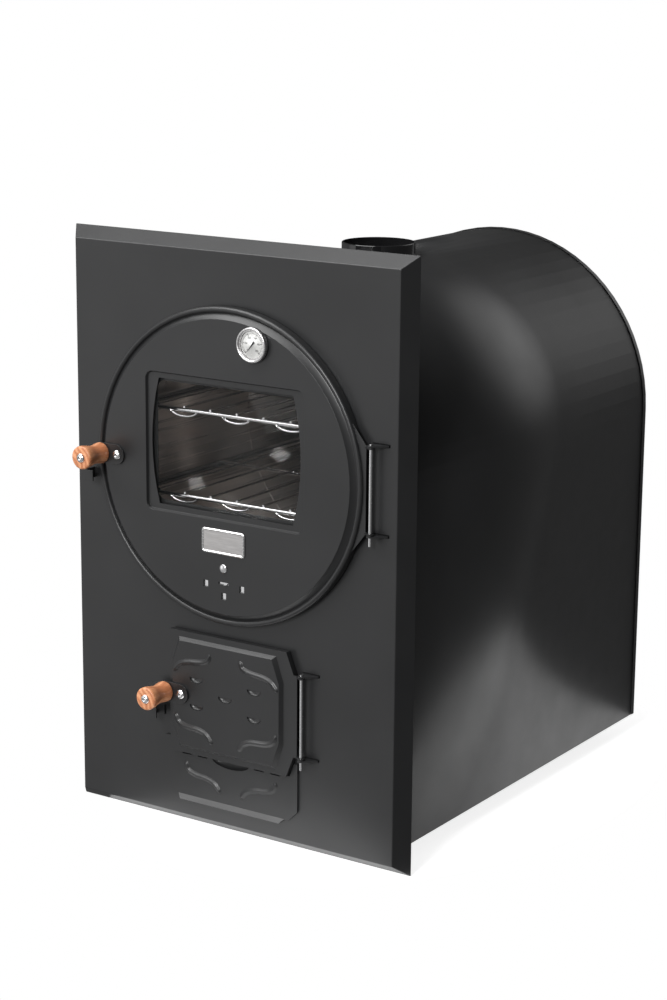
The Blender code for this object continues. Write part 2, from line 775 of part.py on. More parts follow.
def make_guide(name, side):
    """A channel that guides the ash drawer on a ledge and carries the grate and bricks."""
    inner, wall = GUIDE_HALF_WIDTH, GUIDE_HALF_WIDTH + GUIDE_SHEET
    top, foot = GUIDE_TOP_Z, SHEET + GAP
    outline = [
        (inner, foot),
        (wall, foot),
        (wall, top - GUIDE_SHEET),
        (inner + GUIDE_FLANGE, top - GUIDE_SHEET),
        (inner + GUIDE_FLANGE, top),
        (inner, top),
        (inner, GUIDE_LEDGE_Z),
        (inner - GUIDE_LEDGE, GUIDE_LEDGE_Z),
        (inner - GUIDE_LEDGE, GUIDE_LEDGE_Z - GUIDE_SHEET),
        (inner, GUIDE_LEDGE_Z - GUIDE_SHEET),
    ]
    outline = [(side * x, z) for x, z in outline]
    rear = chamber_rear_y() + GAP + BRICK_THICK + GUIDE_PAST
    return extrude(name, outline, BEHIND_Y, rear, "Y", black_paint())


def chamber_front_y():
    return BEHIND_Y + THROAT_LENGTH + GAP


def chamber_rear_y():
    """Rear ends of the grate and of the bricks at the sides."""
    return chamber_front_y() + BRICK_DEPTH


def make_grate():
    """A cast grate with slots from side to side."""
    low = GUIDE_TOP_Z + GAP
    front, rear = chamber_front_y(), chamber_rear_y()
    grate = box("fire_grate", (-GRATE_HALF_WIDTH, front, low), (GRATE_HALF_WIDTH, rear, low + GRATE_THICK))
    pitch = (BRICK_DEPTH - 2 * GRATE_BORDER) / GRATE_BARS
    half = GRATE_HALF_WIDTH - GRATE_BORDER
    for i in range(GRATE_BARS):
        y = front + GRATE_BORDER + pitch * i + pitch / 2
        slot_low = (-half, y - GRATE_SLOT / 2, low - OVERRUN)
        cut(grate, box("slot", slot_low, (half, y + GRATE_SLOT / 2, low + GRATE_THICK + OVERRUN)))
    return finish_as(grate, cast_iron())


def make_bricks():
    low = GUIDE_TOP_Z + GAP
    front, rear = chamber_front_y(), chamber_rear_y()
    inner = GRATE_HALF_WIDTH + GAP
    outer = inner + BRICK_THICK
    top = low + BRICK_HEIGHT
    made = []
    for name, side in (("fire_brick_left", -1), ("fire_brick_right", 1)):
        xs = sorted((side * inner, side * outer))
        made.append(box(name, (xs[0], front, low), (xs[1], rear, top), firebrick()))
    back_low, back_high = (-outer, rear + GAP, low), (outer, rear + GAP + BRICK_THICK, top)
    made.append(box("fire_brick_back", back_low, back_high, firebrick()))
    return made


def make_baffle():
    """The plate over the fire that sends the flames to the rear and round the drum."""
    low = GUIDE_TOP_Z + GAP + BRICK_HEIGHT + GAP
    half = GRATE_HALF_WIDTH + GAP + BRICK_THICK + BAFFLE_LAP
    front, top = chamber_front_y(), low + BAFFLE_THICK
    return box("flame_baffle", (-half, front, low), (half, front + BAFFLE_DEPTH, top), cast_iron())


# Round door

def door_profile():
    """Skin of the pressed door: face, ramp, groove, rolled edge and back, (radius, proud)."""
    roll_x = DOOR_RADIUS - ROLL_RADIUS
    outside = [(0, DOOR_PROUD), (DOOR_FACE_RADIUS, DOOR_PROUD)]
    outside += [(DOOR_FACE_RADIUS + RAMP_WIDTH, GROOVE_PROUD)]
    outside += [(DOOR_FACE_RADIUS + RAMP_WIDTH + GROOVE_WIDTH, ROLL_PROUD)]
    outside += arc(roll_x, ROLL_PROUD, ROLL_RADIUS, ROLL_START_DEG, 0, TINY_FACETS)
    outside += [(DOOR_RADIUS, DOOR_STANDOFF)]
    inside = [(DOOR_RADIUS - SHEET, DOOR_STANDOFF)]
    inside += arc(roll_x, ROLL_PROUD, ROLL_RADIUS - SHEET, 0, 180, 6)
    inside += [(roll_x - ROLL_RADIUS + SHEET / 2, groove_back())]
    inside += [(DOOR_FACE_RADIUS + RAMP_WIDTH - SHEET / 2, groove_back())]
    inside += [(DOOR_FACE_RADIUS - SHEET / 2, DOOR_PROUD - SHEET), (0, DOOR_PROUD - SHEET)]
    return outside + inside


def groove_back():
    """Back of the groove's sheet, where the inner plate is welded on."""
    return GROOVE_PROUD - SHEET


def liner_front():
    return groove_back() - GAP


def opening_outline(grow):
    """The glass opening: straight top and bottom, bowed sides, (x, z)."""
    half_w, half_h = OPENING_HALF_WIDTH + grow, OPENING_HALF_HEIGHT + grow
    middle = OVEN_CENTRE_Z + WINDOW_Z
    out = []
    count = TINY_FACETS
    for side, order in ((1, 1), (-1, -1)):
        for i in range(count + 1):
            share = -1 + 2 * i / count
            z = middle + order * half_h * share
            out.append((side * (half_w + OPENING_BOW * (1 - share * share)), z))
    return out


def make_oven_door():
    centre = (0, FACE_Y, OVEN_CENTRE_Z)
    door = turn("oven_door_panel", door_profile(), centre, "Y", ROUND_FACETS)
    window_z = OVEN_CENTRE_Z + WINDOW_Z
    back = DOOR_PROUD - WINDOW_RECESS - SHEET

    def window(grow, corner):
        return rounded(0, window_z, WINDOW_HALF_WIDTH + grow, WINDOW_HALF_HEIGHT + grow, corner, 5)

    block = window(SHEET, WINDOW_CORNER + SHEET)
    join(door, extrude("block", block, proud(back), proud(DOOR_PROUD - SHEET / 2), "Y"))
    floor, past = DOOR_PROUD - WINDOW_RECESS, OVERRUN * SHEET / WINDOW_RECESS
    low_ring, high_ring = window(-SHEET, WINDOW_CORNER - SHEET), window(past, WINDOW_CORNER + past)
    cut(door, loft("recess", low_ring, high_ring, proud(floor), proud(DOOR_PROUD + OVERRUN), "Y"))
    cut(door, extrude("pane", opening_outline(0), proud(back - OVERRUN), proud(DOOR_PROUD + OVERRUN), "Y"))
    join(door, oven_leaf(), *door_ears(OVEN_PIN_X, OVEN_CENTRE_Z, OVEN_EAR_RISE))
    low, high = ear_heights(OVEN_CENTRE_Z, OVEN_EAR_RISE)
    cut(door, pin_hole(OVEN_PIN_X, low, high + EAR_THICK))
    cut_door_holes(door)
    return finish_as(door, black_paint())


def oven_leaf():
    """The flat leaf from the rim to the pin, wide at the rim and straight at the ears."""
    edge_x = OVEN_PIN_X - LEAF_SETBACK
    low, high = ear_heights(OVEN_CENTRE_Z, OVEN_EAR_RISE)
    top = high - RUN - OVEN_CENTRE_Z
    bottom = low + EAR_THICK + RUN - OVEN_CENTRE_Z
    inner = DOOR_RADIUS - SHEET / 2
    spread = math.degrees(math.asin((top + LEAF_FLANK) / inner))
    outline = arc(0, 0, inner, spread, -spread, SMALL_FACETS)
    outline += [(edge_x, bottom), (edge_x, top)]
    outline = [(x, OVEN_CENTRE_Z + z) for x, z in outline]
    return extrude("leaf", outline, proud(LEAF_PROUD), proud(LEAF_PROUD - SHEET), "Y")


def air_hole_places():
    """Middles of the three air holes, on an arc under the rivet."""
    out = []
    for i in (-1, 0, 1):
        angle = math.radians(-90 + i * AIR_HOLE_STEP_DEG)
        x, z = AIR_HOLE_RADIUS * math.cos(angle), AIR_HOLE_RADIUS * math.sin(angle)
        out.append((x, OVEN_CENTRE_Z + DAMPER_Z + z))
    return out


def cut_door_holes(door):
    front, back = proud(DOOR_PROUD + OVERRUN), proud(DOOR_PROUD - SHEET - OVERRUN)
    for x, z in air_hole_places():
        half_w, half_h = AIR_HOLE_WIDTH / 2, AIR_HOLE_HEIGHT / 2
        cut(door, extrude("air", rectangle(x - half_w, z - half_h, x + half_w, z + half_h), back, front, "Y"))
    slit_z = OVEN_CENTRE_Z + DAMPER_Z - SLIT_RADIUS
    slit = rectangle(-SLIT_LENGTH / 2, slit_z - SLIT_HEIGHT / 2, SLIT_LENGTH / 2, slit_z + SLIT_HEIGHT)
    cut(door, extrude("slit", slit, back, front, "Y"))
    rounds = (
        (0, DAMPER_Z, RIVET_SHANK + GAP),
        (THERMO_X, THERMO_Z, THERMO_NECK + GAP),
        (OVEN_LATCH_X, -OVEN_LATCH_DROP, PIVOT_SHANK + GAP),
    )
    for x, z, radius in rounds:
        cut(door, extrude("round", circle(x, OVEN_CENTRE_Z + z, radius, SMALL_FACETS), back, front, "Y"))


def make_liner():
    """The inner plate of the door, cut out round the glass, the thermometer and the latch nut."""
    front = proud(liner_front())
    back = proud(liner_front() - LINER_SHEET)
    liner = extrude("oven_door_liner", circle(0, OVEN_CENTRE_Z, LINER_RADIUS, ROUND_FACETS), back, front, "Y")
    half_w = GLASS_HALF_WIDTH + GLASS_FRAME_OVERLAP + OVERRUN
    half_h = GLASS_HALF_HEIGHT + GLASS_FRAME_OVERLAP + OVERRUN
    hole = rounded(0, OVEN_CENTRE_Z + WINDOW_Z, half_w, half_h, WINDOW_CORNER, 3)
    cut(liner, extrude("hole", hole, back + OVERRUN, front - OVERRUN, "Y"))
    stem = circle(THERMO_X, OVEN_CENTRE_Z + THERMO_Z, NUT_RADIUS + RUN, SMALL_FACETS)
    cut(liner, extrude("stem", stem, back + OVERRUN, front - OVERRUN, "Y"))
    return finish_as(liner, black_paint())


def make_seal():
    """The rope seal between the inner plate and the panel."""
    room = liner_front() - LINER_SHEET - GAP - SEAL_NIP
    radius = room / 2
    profile = [(SEAL_RADIUS + x, SEAL_NIP + radius + y) for x, y in circle(0, 0, radius, TINY_FACETS)]
    return turn("door_seal", profile, (0, FACE_Y, OVEN_CENTRE_Z), "Y", ROUND_FACETS, rope_seal())


def glass_front():
    return DOOR_PROUD - WINDOW_RECESS - SHEET - GAP


def make_glass():
    outline = rounded(0, OVEN_CENTRE_Z + WINDOW_Z, GLASS_HALF_WIDTH, GLASS_HALF_HEIGHT, WINDOW_CORNER / 2, 3)
    front = glass_front()
    return extrude("door_glass", outline, proud(front - GLASS_THICK), proud(front), "Y", clear_glass())


def make_glass_frame():
    """The frame that holds the glass from behind."""
    front = glass_front() - GLASS_THICK - GAP
    back = front - GLASS_FRAME_SHEET
    half_w, half_h = GLASS_HALF_WIDTH + GLASS_FRAME_OVERLAP, GLASS_HALF_HEIGHT + GLASS_FRAME_OVERLAP
    middle = OVEN_CENTRE_Z + WINDOW_Z
    outer = rounded(0, middle, half_w, half_h, WINDOW_CORNER, 3)
    frame = extrude("glass_frame", outer, proud(back), proud(front), "Y")
    inner_w, inner_h = half_w - GLASS_FRAME_WIDTH, half_h - GLASS_FRAME_WIDTH
    inner = rounded(0, middle, inner_w, inner_h, WINDOW_CORNER, 3)
    cut(frame, extrude("inside", inner, proud(back - OVERRUN), proud(front + OVERRUN), "Y"))
    return finish_as(frame, black_paint())


def make_badge():
    front = DOOR_PROUD + GAP
    outline = rounded(0, OVEN_CENTRE_Z + BADGE_Z, BADGE_WIDTH / 2, BADGE_HEIGHT / 2, BADGE_CORNER, 4)
    return extrude("badge_plate", outline, proud(front), proud(front + BADGE_THICK), "Y", brushed_steel())


def make_thermometer():
    """Case with bezel and stem, dial, lens, needle and the nut behind the door."""
    centre = (THERMO_X, proud(DOOR_PROUD), OVEN_CENTRE_Z + THERMO_Z)
    well = THERMO_RADIUS - THERMO_BEZEL
    floor = THERMO_DEPTH / 3
    ledge = THERMO_DEPTH - 2 * LENS_THICK
    case = [
        (0, -THERMO_STEM_LENGTH),
        (THERMO_STEM, -THERMO_STEM_LENGTH + THERMO_STEM),
        (THERMO_STEM, -DOOR_PROUD),
        (THERMO_NECK, -DOOR_PROUD),
        (THERMO_NECK, GAP),
        (THERMO_RADIUS - THERMO_BEZEL / 2, GAP),
        (THERMO_RADIUS, floor),
        (THERMO_RADIUS, THERMO_DEPTH - THERMO_BEZEL / 2),
        (THERMO_RADIUS - THERMO_BEZEL / 2, THERMO_DEPTH),
        (well + GAP, THERMO_DEPTH - THERMO_BEZEL / 4),
        (well + GAP, ledge),
        (well - LENS_THICK, ledge),
        (well - LENS_THICK, floor),
        (0, floor),
    ]
    dial_radius = well - LENS_THICK - GAP
    dial_low = floor + GAP
    dial_top = dial_low + DIAL_THICK
    needle_low = dial_top + 3 * GAP
    dial = [(0, dial_low), (dial_radius, dial_low), (dial_radius, dial_top), (DIAL_POST, dial_top)]
    dial += [(DIAL_POST, needle_low - GAP), (0, needle_low - GAP)]
    lens_low = ledge + GAP
    lens = [(0, lens_low), (well, lens_low), (well, lens_low + LENS_THICK), (0, lens_low + LENS_THICK)]
    made = [
        turn("thermometer_case", case, centre, "Y", MEDIUM_FACETS, brushed_steel()),
        turn("thermometer_dial", dial, centre, "Y", MEDIUM_FACETS, white_dial()),
        turn("thermometer_lens", lens, centre, "Y", MEDIUM_FACETS, clear_glass()),
        make_needle(centre, needle_low),
        make_nut("thermometer_nut", centre, THERMO_NECK + GAP, NUT_RADIUS, SHEET + GAP, NUT_THICK),
    ]
    return made


def make_needle(centre, low):
    """A pointer whose tip points down to the left when cold, with a broad tail."""
    tip, tail, half = NEEDLE_LENGTH, NEEDLE_TAIL, NEEDLE_WIDTH / 2
    outline = [(-tip, 0), (0, -half), (tail, -2 * half), (tail, 2 * half), (0, half)]
    angle = math.radians(NEEDLE_REST_DEG)
    turned = []
    for u, v in outline:
        x = u * math.cos(angle) - v * math.sin(angle)
        z = u * math.sin(angle) + v * math.cos(angle)
        turned.append((centre[0] + x, centre[2] + z))
    y = centre[1] - low
    return extrude("thermometer_needle", turned, y, y - NEEDLE_THICK, "Y", black_needle())


def make_nut(name, centre, bore, radius, setback, thick):
    """A hexagon nut, set back behind the given plane."""
    front = centre[1] + setback
    back = front + thick
    nut = extrude(name, circle(centre[0], centre[2], radius, NUT_SIDES), front, back, "Y")
    hole = circle(centre[0], centre[2], bore, SMALL_FACETS)
    cut(nut, extrude("bore", hole, front - OVERRUN, back + OVERRUN, "Y"))
    return finish_as(nut, bright_steel())


def make_damper():
    """A disc behind the door with three windows, turned by a lug through the slit."""
    front = proud(DOOR_PROUD - SHEET - GAP)
    back = front + DAMPER_SHEET
    middle = OVEN_CENTRE_Z + DAMPER_Z
    disc = extrude("air_damper", circle(0, middle, DAMPER_RADIUS, MEDIUM_FACETS), front, back, "Y")
    bore = circle(0, middle, RIVET_SHANK + GAP, SMALL_FACETS)
    cut(disc, extrude("bore", bore, front - OVERRUN, back + OVERRUN, "Y"))
    for i in (-1, 0, 1):
        angle = math.radians(-90 + i * AIR_HOLE_STEP_DEG + DAMPER_TURN_DEG)
        x = AIR_HOLE_RADIUS * math.cos(angle)
        z = middle + AIR_HOLE_RADIUS * math.sin(angle)
        half_w, half_h = AIR_HOLE_WIDTH / 2, AIR_HOLE_HEIGHT / 2
        window = rectangle(x - half_w, z - half_h, x + half_w, z + half_h)
        cut(disc, extrude("window", window, front - OVERRUN, back + OVERRUN, "Y"))
    angle = math.radians(-90 + DAMPER_TURN_DEG / 2)
    across, out = Vector((-math.sin(angle), math.cos(angle))), Vector((math.cos(angle), math.sin(angle)))
    lug = []
    for u, v in rectangle(-LUG_WIDTH / 2, -LUG_THICK / 2, LUG_WIDTH / 2, LUG_THICK / 2):
        place = across * u + out * (SLIT_RADIUS + v)
        lug.append((place.x, middle + place.y))
    join(disc, extrude("lug", lug, front + DAMPER_SHEET / 2, proud(DOOR_PROUD + LUG_PROUD), "Y"))
    return finish_as(disc, bright_steel())


def make_rivet():
    """The damper's pivot, domed in front and headed behind."""
    tail = -SHEET - 2 * GAP - DAMPER_SHEET
    head = [(RIVET_HEAD * math.cos(a), GAP + RIVET_HEAD_HEIGHT * math.sin(a)) for a in quarter(4)]
    profile = [(0, tail - RIVET_TAIL_HEIGHT), (RIVET_TAIL, tail - RIVET_TAIL_HEIGHT), (RIVET_TAIL, tail)]
    profile += [(RIVET_SHANK, tail), (RIVET_SHANK, GAP)] + head + [(0, GAP + RIVET_HEAD_HEIGHT)]
    centre = (0, proud(DOOR_PROUD), OVEN_CENTRE_Z + DAMPER_Z)
    return turn("damper_rivet", profile, centre, "Y", SMALL_FACETS, bright_steel())


def quarter(count):
    """Angles of a quarter turn, without its end."""
    return [math.pi / 2 * i / count for i in range(count)]


# Latches

def make_latch(prefix, pivot_x, pivot_z, face, sheet):
    """Lever plate, wooden grip with its screw, and the pivot screw through the door's sheet."""
    back = face + GAP
    front = back + LEVER_THICK
    grip_x = pivot_x - GRIP_OFFSET
    end_x, shoulder_x, nose_x = pivot_x - LEVER_END_SHIFT, pivot_x - LEVER_SHOULDER, pivot_x - NOSE_END
    outline = arc(end_x, pivot_z, LEVER_HALF_HEIGHT, -90, 90, SMALL_FACETS)
    outline += [(shoulder_x, pivot_z + LEVER_HALF_HEIGHT), (nose_x, pivot_z + NOSE_HALF_HEIGHT)]
    outline += [(nose_x, pivot_z - NOSE_HALF_HEIGHT), (shoulder_x, pivot_z - LEVER_HALF_HEIGHT)]
    lever = extrude(prefix + "_latch_lever", outline, proud(back), proud(front), "Y")
    hole = circle(pivot_x, pivot_z, PIVOT_SHANK + GAP, SMALL_FACETS)
    cut(lever, extrude("hole", hole, proud(back - OVERRUN), proud(front + OVERRUN), "Y"))
    bore = circle(grip_x, pivot_z, GRIP_BORE, SMALL_FACETS)
    cut(lever, extrude("bore", bore, proud(back - OVERRUN), proud(front + OVERRUN), "Y"))
    finish_as(lever, black_paint())
    seat = (grip_x, proud(front + GAP), pivot_z)
    made = [lever, make_grip(prefix + "_latch_grip", seat)]
    made.append(make_grip_screw(prefix + "_latch_grip_screw", seat))
    made.append(make_pivot(prefix + "_latch_pivot", (pivot_x, proud(front), pivot_z), sheet))
    return made


def grip_radius(share):
    """Radius along the grip: rear end, waist and front end joined by half waves."""
    if share < GRIP_WAIST_SHARE:
        swing, end = share / GRIP_WAIST_SHARE, GRIP_REAR_RADIUS
    else:
        swing, end = (1 - share) / (1 - GRIP_WAIST_SHARE), GRIP_FRONT_RADIUS
    return end + (GRIP_WAIST_RADIUS - end) * (1 - math.cos(math.pi * swing)) / 2


def make_grip(name, centre):
    """A turned grip with a drawn-in waist and a bore for its screw."""
    profile = [(GRIP_BORE, 0), (GRIP_REAR_RADIUS - GRIP_ROUND, 0)]
    steps = 9
    for i in range(steps + 1):
        share = i / steps
        profile.append((grip_radius(share), GRIP_ROUND + (GRIP_LENGTH - 2 * GRIP_ROUND) * share))
    profile += [(GRIP_FRONT_RADIUS - GRIP_ROUND, GRIP_LENGTH), (GRIP_BORE, GRIP_LENGTH)]
    return turn(name, profile, centre, "Y", MEDIUM_FACETS, waxed_wood())


def screw_head(seat):
    """Profile of a button head from its edge to its top, on the plane of its seat."""
    head = [(SCREW_HEAD * math.cos(a), seat + SCREW_HEAD_HEIGHT * math.sin(a)) for a in quarter(3)]
    return head + [(0, seat + SCREW_HEAD_HEIGHT)]


def make_grip_screw(name, centre):
    """The long screw through the grip, its head on the grip's end."""
    start, top = -LEVER_THICK, GRIP_LENGTH + GAP
    profile = [(0, start), (GRIP_SCREW_RADIUS, start), (GRIP_SCREW_RADIUS, top)] + screw_head(top)
    return turn(name, profile, centre, "Y", SMALL_FACETS, bright_steel())


def make_pivot(name, centre, sheet):
    """The pivot screw with its head on the lever and its nut behind the door's sheet."""
    nut_front = -LEVER_THICK - GAP - sheet - GAP
    nut_back = nut_front - PIVOT_NUT_THICK
    profile = [(0, nut_back), (PIVOT_NUT, nut_back), (PIVOT_NUT, nut_front), (PIVOT_SHANK, nut_front)]
    profile += [(PIVOT_SHANK, GAP)] + screw_head(GAP)
    return turn(name, profile, centre, "Y", SMALL_FACETS, bright_steel())


def make_catch(prefix, pivot_x, pivot_z, face):
    """A bent hook on the panel, below the nose of a door's latch."""
    x_post = pivot_x - CATCH_POST
    x_edge = x_post + CATCH_REACH
    top = pivot_z - CATCH_DROP
    hook = face + GAP + LEVER_THICK + CATCH_CLEAR
    outline = [
        (x_post - CATCH_SHEET, proud(GAP)),
        (x_post - CATCH_SHEET, proud(hook + CATCH_SHEET)),
        (x_edge, proud(hook + CATCH_SHEET)),
        (x_edge, proud(hook)),
        (x_post, proud(hook)),
        (x_post, proud(GAP + CATCH_SHEET)),
        (x_post + CATCH_FOOT, proud(GAP + CATCH_SHEET)),
        (x_post + CATCH_FOOT, proud(GAP)),
    ]
    return extrude(prefix + "_latch_catch", outline, top - CATCH_HEIGHT, top, "Z", black_paint())


# Pressed pockets

def pocket(name, place, size, grow, up):
    """Quarter of an ellipsoid pressed inwards below its rim. A cutter, which isn't grown,
    also passes through the front and this far over the rim."""
    half, height, depth = (length + grow for length in size)
    rows, columns = TINY_FACETS, SMALL_FACETS
    points = []
    for i in range(rows + 1):
        down = math.pi / 2 * i / rows
        for j in range(columns + 1):
            across = math.pi * j / columns
            x = half * math.cos(across) * math.cos(down)
            y = depth * math.sin(across) * math.cos(down)
            points.append((place[0] + x, place[1] + y, place[2] - height * math.sin(down)))
    if grow == 0:
        points = points + [(x, y - OVERRUN, z) for x, y, z in points]
        points = points + [(x, y, z + up) for x, y, z in points]
    return hull(name, points)


def hull(name, points):
    """Convex hull of points."""
    mesh = bpy.data.meshes.new(name)
    work = bmesh.new()
    for point in points:
        work.verts.new(point)
    bmesh.ops.remove_doubles(work, verts=work.verts, dist=SAME)
    bmesh.ops.convex_hull(work, input=work.verts)
    spare = [v for v in work.verts if not v.link_faces]
    bmesh.ops.delete(work, geom=spare, context="VERTS")
    bmesh.ops.recalc_face_normals(work, faces=work.faces)
    work.to_mesh(mesh)
    work.free()
    return place_mesh(name, mesh, None)


# Fire door

def fire_outline(inset):
    """Outline of the fire door with the flanks that lead to its hinge, (x, z)."""
    low, high = ear_heights(FIRE_MIDDLE_Z, FIRE_EAR_RISE)
    left, right = -FIRE_HALF_WIDTH + inset, FIRE_HALF_WIDTH - inset
    edge = FIRE_FLANK_X - inset
    bottom, top = FIRE_BOTTOM_Z + inset, FIRE_TOP_Z - inset
    step = inset / 2
    return [
        (left, bottom),
        (right, bottom),
        (edge, low + EAR_THICK + RUN + step),
        (edge, high - RUN - step),
        (right, top),
        (left, top),
    ]


def raised_outline(inset):
    """Octagon of the raised middle, widest at half height."""
    narrow, wide = RAISE_NARROW_HALF - inset, RAISE_WIDE_HALF - inset
    half = (FIRE_TOP_Z - FIRE_BOTTOM_Z) / 2 - RAISE_MARGIN - inset
    shoulder = half - RAISE_CHAMFER + inset / 2
    ring = [(narrow, half), (wide, shoulder), (wide, -shoulder), (narrow, -half)]
    ring += [(-narrow, -half), (-wide, -shoulder), (-wide, shoulder), (-narrow, half)]
    return [(x, FIRE_MIDDLE_Z + z) for x, z in ring]


def louver_places():
    """Middles of the rims of the five air pockets."""
    places = [(0, 0)]
    for sx in (-1, 1):
        for sz in (-1, 1):
            places.append((sx * LOUVER_STEP_X, sz * LOUVER_STEP_Z))
    return [(x, FIRE_MIDDLE_Z + LOUVER_TOP + z) for x, z in places]


def make_fire_door():
    top = FIRE_PROUD + FIRE_RAISE
    door = extrude("fire_door_panel", fire_outline(0), proud(DOOR_STANDOFF), proud(FIRE_PROUD), "Y")
    low_ring, high_ring = raised_outline(0), raised_outline(RAISE_SLOPE)
    join(door, loft("raise", low_ring, high_ring, proud(FIRE_PROUD), proud(top), "Y"))
    pan = extrude("pan", fire_outline(SHEET), proud(DOOR_STANDOFF - OVERRUN), proud(FIRE_PROUD - SHEET), "Y")
    cut(door, pan)
    low_ring, high_ring = raised_outline(SHEET / 2), raised_outline(RAISE_SLOPE + SHEET / 2)
    deep = FIRE_PROUD - SHEET
    cut(door, loft("press", low_ring, high_ring, proud(deep - RUN), proud(top - SHEET), "Y"))
    size = (LOUVER_HALF, LOUVER_HEIGHT, LOUVER_DEPTH)
    for x, z in louver_places():
        place = (x, proud(top), z)
        join(door, pocket("wall", place, size, LOUVER_WALL, 0))
        cut(door, pocket("inside", place, size, 0, LOUVER_OPEN))
    join(door, *door_ears(FIRE_PIN_X, FIRE_MIDDLE_Z, FIRE_EAR_RISE), fire_leaf())
    low, high = ear_heights(FIRE_MIDDLE_Z, FIRE_EAR_RISE)
    cut(door, pin_hole(FIRE_PIN_X, low, high + EAR_THICK))
    hole = circle(FIRE_LATCH_X, FIRE_MIDDLE_Z - FIRE_LATCH_DROP, PIVOT_SHANK + GAP, SMALL_FACETS)
    cut(door, extrude("pivot", hole, proud(top - SHEET - OVERRUN), proud(top + OVERRUN), "Y"))
    return finish_as(door, black_paint())


def fire_leaf():
    """The last strip of the leaf, from the pan's edge to the ears."""
    low, high = ear_heights(FIRE_MIDDLE_Z, FIRE_EAR_RISE)
    edge = FIRE_PIN_X - LEAF_SETBACK
    outline = rectangle(FIRE_FLANK_X - SHEET, low + EAR_THICK + RUN, edge, high - RUN)
    return extrude("leaf", outline, proud(LEAF_PROUD), proud(LEAF_PROUD - SHEET), "Y")


def make_fire_shield():
    """The heat shield behind the fire door, on two studs."""
    front = proud(-SHIELD_SETBACK)
    back = front + SHIELD_SHEET
    half_w, half_h = SHIELD_HALF_WIDTH, SHIELD_HALF_HEIGHT
    outline = rectangle(-half_w, FIRE_MIDDLE_Z - half_h, half_w, FIRE_MIDDLE_Z + half_h)
    made = [extrude("fire_door_shield", outline, front, back, "Y", black_paint())]
    stud_front = proud(FIRE_PROUD + FIRE_RAISE - SHEET - GAP)
    for name, side in (("shield_stud_left", -1), ("shield_stud_right", 1)):
        start = (side * STUD_X, stud_front, FIRE_MIDDLE_Z)
        end = (side * STUD_X, front - GAP, FIRE_MIDDLE_Z)
        made.append(rod(name, start, end, STUD_RADIUS, SMALL_FACETS, bright_steel()))
    return made


# Ash drawer

def make_ash_front():
    """The drawer's front: horned plate, flared lip, finger scoop and air notches."""
    half, top = ASH_HALF_WIDTH, ASH_TOP_Z
    horn_left = -FIRE_HALF_WIDTH - HORN_CLEAR
    horn_right = FIRE_HALF_WIDTH + HORN_CLEAR
    outline = [
        (-half, ASH_BEND_Z + ASH_CHAMFER),
        (-half + ASH_CHAMFER, ASH_BEND_Z),
        (half - ASH_CHAMFER, ASH_BEND_Z),
        (half, ASH_BEND_Z + ASH_CHAMFER),
        (half, HORN_TOP_Z),
        (HORN_NARROW, HORN_TOP_Z),
        (horn_right, top),
        (horn_left, top),
        (horn_left, HORN_TOP_Z),
        (-half, HORN_TOP_Z),
    ]
    back, front = ASH_LIFT, ASH_LIFT + SHEET
    plate = extrude("ash_drawer_front", outline, proud(back), proud(front), "Y")
    place, size = (0, proud(front), top), (SCOOP_HALF, SCOOP_HEIGHT, SCOOP_DEPTH)
    join(plate, pocket("bowl", place, size, SHEET, 0))
    cut(plate, pocket("scoop", place, size, 0, OVERRUN))
    join(plate, ash_lip())
    for x in NOTCH_X:
        for side in (-1, 1):
            left, right = side * x - NOTCH_WIDTH / 2, side * x + NOTCH_WIDTH / 2
            notch = rectangle(left, top - NOTCH_DEPTH, right, top + NOTCH_DEPTH)
            cut(plate, extrude("notch", notch, proud(back - OVERRUN), proud(front + OVERRUN), "Y"))
    return finish_as(plate, black_paint())


def ash_lip():
    """The strip at the foot, bent out at 45 degrees with tapered ends."""
    front, back = ASH_LIFT + SHEET, ASH_LIFT
    upper = ASH_BEND_Z + SHEET / 2
    rows = [
        (ASH_LIP_HALF, front, upper),
        (ASH_LIP_HALF - ASH_LIP_TAPER, front + ASH_LIP, ASH_BEND_Z - ASH_LIP),
        (ASH_LIP_HALF - ASH_LIP_TAPER, front + ASH_LIP - SHEET / 2, ASH_BEND_Z - ASH_LIP - SHEET / 2),
        (ASH_LIP_HALF, back, ASH_BEND_Z - SHEET / 2),
        (ASH_LIP_HALF, back, upper),
    ]
    points = [(-x, proud(d), z) for x, d, z in rows] + [(x, proud(d), z) for x, d, z in rows]
    count = len(rows)
    faces = [list(range(count)), list(range(count, 2 * count))]
    for i in range(count):
        j = (i + 1) % count
        faces.append([i, j, count + j, count + i])
    return solid("lip", points, faces)


def make_ash_pan():
    half = GUIDE_HALF_WIDTH - PAN_SIDE_CLEAR
    front = proud(ASH_LIFT - GAP)
    low = GUIDE_LEDGE_Z + GAP
    pan = box("ash_pan", (-half, front, low), (half, front + PAN_DEPTH, PAN_TOP_Z))
    inner_low = (-half + PAN_SHEET, front + PAN_SHEET, low + PAN_SHEET)
    inner_high = (half - PAN_SHEET, front + PAN_DEPTH - PAN_SHEET, PAN_TOP_Z + OVERRUN)
    cut(pan, box("inside", inner_low, inner_high))
    return finish_as(pan, bright_steel())


HINGES = (
    (OVEN_PIN_X, OVEN_CENTRE_Z, OVEN_EAR_RISE),
    (FIRE_PIN_X, FIRE_MIDDLE_Z, FIRE_EAR_RISE),
)


